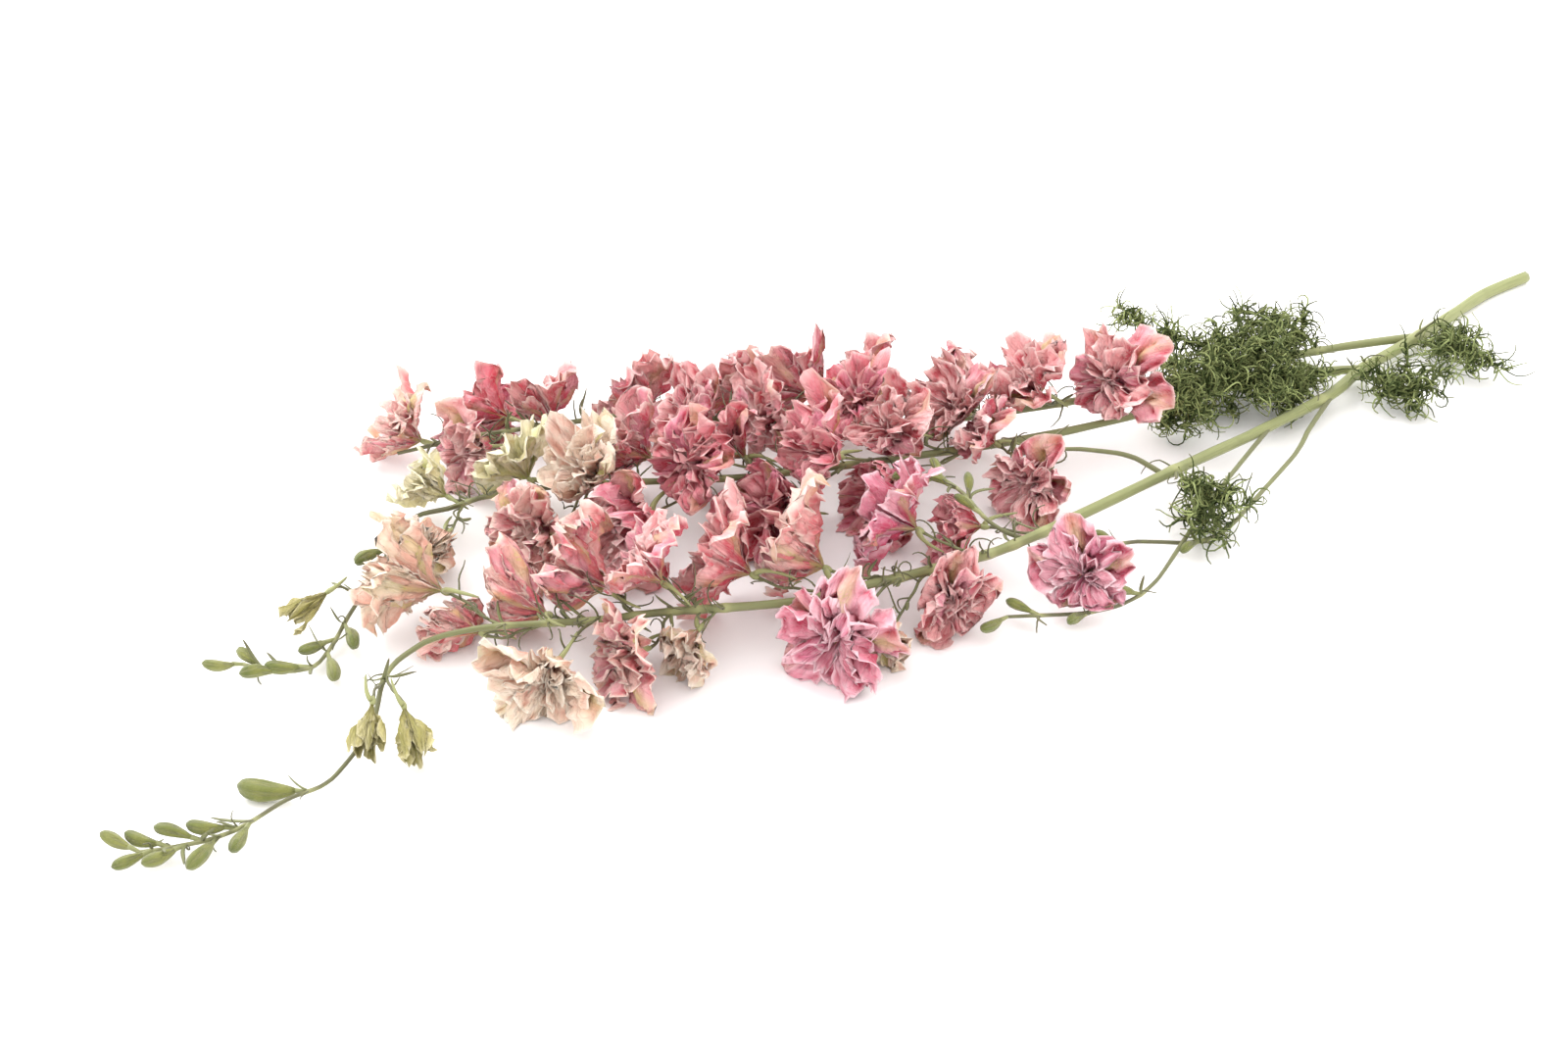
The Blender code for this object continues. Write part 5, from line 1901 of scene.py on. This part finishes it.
class Foliage:
    """The finely cut leaves: a rib each, with stiff segments and curled threads."""

    def __init__(
        self, strands: dict[str, Strand], heads: list[FlowerHead], samples: Samples
    ) -> None:
        """Note what the leaves keep clear of.

        Args:
            strands: The stems by name.
            heads: The flowers.
            samples: Points down the middle of all stems and stalks.
        """
        self.strands = strands
        self.samples = samples
        self.centres = np.array([head.centre for head in heads])
        self.reaches = np.array([head.length * 1.05 for head in heads])
        self.leaves: list[Array] = []

    def clear_at(self, place: Array) -> bool:
        """Find whether a leaf's segment can pass through a place.

        Args:
            place: The point.

        Returns:
            True where it keeps clear of everything.
        """
        if not SEGMENT_LOWEST <= place[2] <= HIGHEST_LEAF:
            return False
        to_stems = np.linalg.norm(self.samples.points - place, axis=1) - self.samples.radii
        if (to_stems < SEGMENT_TO_STEM).any():
            return False
        if (np.linalg.norm(self.centres - place, axis=1) < self.reaches).any():
            return False
        if not self.leaves:
            return True
        to_leaves = np.linalg.norm(np.array(self.leaves) - place, axis=1)
        return not (to_leaves < SEGMENT_TO_LEAF).any()

    def clear(self, points: list[Array]) -> bool:
        """Whether a leaf's segment can follow the whole line of points."""
        return all(self.clear_at(place) for place in between(points, (0.0, 0.33, 0.67, 1.0)))

    def open_to(self, points: Array) -> bool:
        """Find whether a thin thread can pass through some points.

        Args:
            points: The points, one a row.

        Returns:
            True where it keeps clear of stems and flowers.
        """
        if points[:, 2].min() < THREAD_LOWEST or points[:, 2].max() > HIGHEST_LEAF:
            return False
        to_stems = np.linalg.norm(self.samples.points[None] - points[:, None], axis=2)
        if ((to_stems - self.samples.radii)[1:] < THREAD_TO_STEM).any():
            return False
        to_heads = np.linalg.norm(self.centres[None] - points[:, None], axis=2)
        return not (to_heads < self.reaches * THREAD_TO_HEAD).any()

    def rib_line(self, row: tuple) -> list[Array]:
        """A leaf's rib, from beside its stem to as far as it is free.

        Args:
            row: The leaf's row of the table.

        Returns:
            The points of the rib.
        """
        stem, root, side, rise, along, out = row
        strand = self.strands[stem]
        start, radius = strand.core(root), strand.at(root)[1]
        outward = unit(strand.right(root) * side + np.array((0, 0, rise)))
        foot = start + outward * (radius + PIECE_GAP)
        tip = foot + outward * out + strand.heading(root) * along
        middle = (foot + tip) / 2 + np.array((0, 0, 4.0))
        rib = lifted(bezier(foot, foot + outward * out * 0.35, middle, tip, 5), 1.4)
        usable = [rib[0]]
        first = rib[0] + (rib[1] - rib[0]) * 0.4
        for before, point in zip([first, *rib[1:]], rib[1:]):
            if not self.clear([before, point]):
                break
            usable.append(point)
        return usable

    def segments(self, number: int, rib: list[Array]) -> list[Array]:
        """A leaf's stiff segments, which the solid has too.

        Args:
            number: The leaf's number.
            rib: The points of its rib.

        Returns:
            The line of each segment.
        """
        rng = random.Random(Seed.SEGMENTS + number)
        found, mine = [], []
        for _ in range(MOST_TRIES):
            if len(found) >= NEEDLES_PER_FROND:
                break
            start, ahead, spin = offshoot(rng, rib, 0.15, 1.0)
            size, curl = rng.uniform(11, 19), rng.uniform(0.2, 0.7)
            path = thread_path(rng, start, unit(ahead * 0.5 + spin), size, curl, 3)
            halfway = path[0] + (path[1] - path[0]) * 0.5
            if not self.clear([halfway, *path[1:]]):
                continue
            found.append(path)
            mine += [*between(path, (0.0, 0.33, 0.67)), path[-1]]
        self.leaves += mine + between(rib, (0.0, 0.2, 0.4, 0.6, 0.8))
        return found

    def add_threads(self, stock: Stock, lines: list[Array], number: int, count: int) -> None:
        """Put a leaf's many curled threads into its piece.

        Args:
            stock: The piece.
            lines: The rib and the segments that they grow from.
            number: The leaf's number.
            count: How many threads there are to be.
        """
        rng = random.Random(Seed.THREADS + number)
        made = 0
        for _ in range(count * 3):
            if made >= count:
                break
            line = lines[0] if rng.random() < 0.3 else rng.choice(lines[1:] or lines)
            start, ahead, spin = offshoot(rng, line, 0.12, 0.97)
            size, curl = rng.uniform(6, 15), rng.uniform(0.25, 0.95)
            way = unit(ahead * rng.uniform(0.2, 1.2) + spin)
            path = thread_path(rng, start, way, size, curl, 7)
            if not self.open_to(path):
                continue
            made += 1
            t = progress(path)
            radii = rng.uniform(0.36, 0.56) * (1 - 0.5 * t)
            Tube(path, radii, 3, flat=0.8).add_to(stock, columns(t, 0.0, rng.random()))

    def build(self, finish: bpy.types.Material) -> None:
        """Make every leaf.

        Args:
            finish: The leaves' material.
        """
        for number, row in enumerate(rows_of(FRONDS)):
            stock = green_stock()
            rng = random.Random(Seed.LEAF_TINTS + number)
            rib = self.rib_line(row)
            segments = self.segments(number, rib)
            lines = [smooth(rib, 6)] + [smooth(segment, 5) for segment in segments]
            t = progress(lines[0])
            Tube(lines[0], 0.72 - 0.3 * t, 8, 3, 0.12).add_to(stock, columns(t * 0.3, 0.0, 0.75))
            for line in lines[1:]:
                t = progress(line)
                tube = Tube(line, 0.42 - 0.2 * t, 6, flat=0.6)
                tube.add_to(stock, columns(t, 0.0, rng.random()))
            self.add_threads(stock, lines, number, THREADS_PER_FROND)
            made = stock.build(f"leaf_{number + 1:02d}", finish, "leaf_green")
            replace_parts(made, f"frond_{number + 1:02d}")
        tufts = green_stock()
        for number, (name, first, last) in enumerate(TUFT_REACHES):
            strand = self.strands[name]
            line = np.array([strand.at(s)[0] for s in np.linspace(first, last, 40)])
            self.add_threads(tufts, [line], FIRST_TUFT + number, THREADS_PER_TUFT)
        tufts.build("stem_tufts", finish, "leaf_green")


def make_stamens(heads: list[FlowerHead], finish: bpy.types.Material) -> None:
    """Make the stamens of the open flowers, as one piece.

    Args:
        heads: The flowers.
        finish: Their material.
    """
    stock = green_stock()
    rng = random.Random(Seed.STAMENS)
    radii = np.array([0.22, 0.2, 0.18, 0.16, 0.34, 0.2])
    kind = columns((0, 0, 0, 0, 0.9, 1), 0.0, (0.9, 0.9, 0.8, 0.6, 0, 0))
    for head in heads:
        if head.openness < 0.65 or head.length < 18:
            continue
        start = head.base + head.facing * 1.2
        for _ in range(STAMENS_PER_FLOWER):
            way = unit(head.facing + anywhere(rng, 0.5))
            size = head.length * rng.uniform(0.2, 0.36)
            path = thread_path(rng, start, way, size, rng.uniform(0, 0.15), 5)
            Tube(lifted(path, 0.6), radii, 4).add_to(stock, kind)
    stock.build("stamens", finish, "petal_cream")


def aimed(holder: bpy.types.Object, place: tuple, target: tuple) -> None:
    """Add a lamp or camera to the scene, turned to a target.

    Args:
        holder: The lamp's or camera's object.
        place: Where it is, in metres.
        target: The point that it faces.
    """
    holder.location = place
    aim = Vector(target) - Vector(place)
    holder.rotation_euler = aim.to_track_quat("-Z", "Y").to_euler()
    bpy.context.scene.collection.objects.link(holder)


@dataclass(frozen=True)
class Studio:
    """The white table, the soft light from the upper left, and the camera.

    Attributes:
        eye: The camera's place, in metres.
        target: What the camera looks at.
        lens: Its focal length.
        sensor: The width of its picture.
        key_energy: The lamp's power.
        key_size: The lamp's width.
        key_place: The lamp's place.
        fill: Strength of the even light all round.
        floor: Half the width of the table.
    """

    eye: tuple = (-0.4166, -0.5508, 0.459)
    target: tuple = (-0.0496, -0.0068, 0.0)
    lens: float = 50.0
    sensor: float = 36.0
    key_energy: float = 12.5
    key_size: float = 0.9
    key_place: tuple = (-0.25, 0.85, 1.05)
    fill: float = 1.82
    floor: float = 3.0

    def build(self) -> None:
        """Set up the floor, the lights, the camera and the view."""
        self.add_floor()
        self.add_light()
        self.add_camera()
        bpy.context.scene.view_settings.view_transform = "Standard"

    def add_floor(self) -> None:
        """Lay the plain white table top."""
        mesh = bpy.data.meshes.new("table_top")
        turns = ((-1, -1), (1, -1), (1, 1), (-1, 1))
        corners = [(x * self.floor, y * self.floor, 0) for x, y in turns]
        mesh.from_pydata(corners, [], [(0, 1, 2, 3)])
        table = bpy.data.objects.new("table_top", mesh)
        bpy.context.scene.collection.objects.link(table)
        paint = Paint("white_paper_board")
        look = {"Base Color": (0.96, 0.96, 0.96, 1.0), "Roughness": 0.9, "IOR": 1.3}
        mesh.materials.append(paint.done(paint.node("BsdfPrincipled", look).outputs[0]))

    def add_light(self) -> None:
        """Hang the soft lamp, and fill the room with even white light."""
        lamp = bpy.data.lights.new("softbox", "AREA")
        lamp.energy = self.key_energy
        lamp.size = self.key_size
        aimed(bpy.data.objects.new("softbox", lamp), self.key_place, (0, 0, 0))
        world = bpy.data.worlds.new("white_room")
        world.use_nodes = True
        world.node_tree.nodes.clear()
        glow = {"Color": (1.0, 0.972, 0.97, 1.0), "Strength": self.fill}
        even = add_node(world.node_tree, "Background", glow)
        add_node(world.node_tree, "OutputWorld", {0: even.outputs[0]})
        bpy.context.scene.world = world

    def add_camera(self) -> None:
        """Place the camera at the photo's angle."""
        camera = bpy.data.cameras.new("camera")
        camera.lens = self.lens
        camera.sensor_width = self.sensor
        camera.clip_end = 20
        holder = bpy.data.objects.new("camera", camera)
        aimed(holder, self.eye, self.target)
        bpy.context.scene.camera = holder


def main() -> None:
    """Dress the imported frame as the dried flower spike."""
    logging.basicConfig(level=logging.INFO, format="%(message)s")
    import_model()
    strands = {
        name: Strand(points, FLAT_LENGTH if name == "main" else 0.0)
        for name, points in ROUTES.items()
    }
    heads = [FlowerHead(number, row, strands) for number, row in enumerate(rows_of(BLOOMS))]
    samples = stem_samples(strands, heads)
    for head in heads:
        head.bound_by(heads, samples)
    finishes = {tone: look.material() for tone, look in PETAL_FINISHES.items()}
    for head in heads:
        head.build(finishes[head.tone])
    Greenery(strands, heads).build(STEM_FINISH.material(), BUD_FINISH.material())
    Foliage(strands, heads, samples).build(LEAF_FINISH.material())
    make_stamens(heads, STAMEN_FINISH.material())
    Studio().build()


if __name__ == "__main__":
    main()
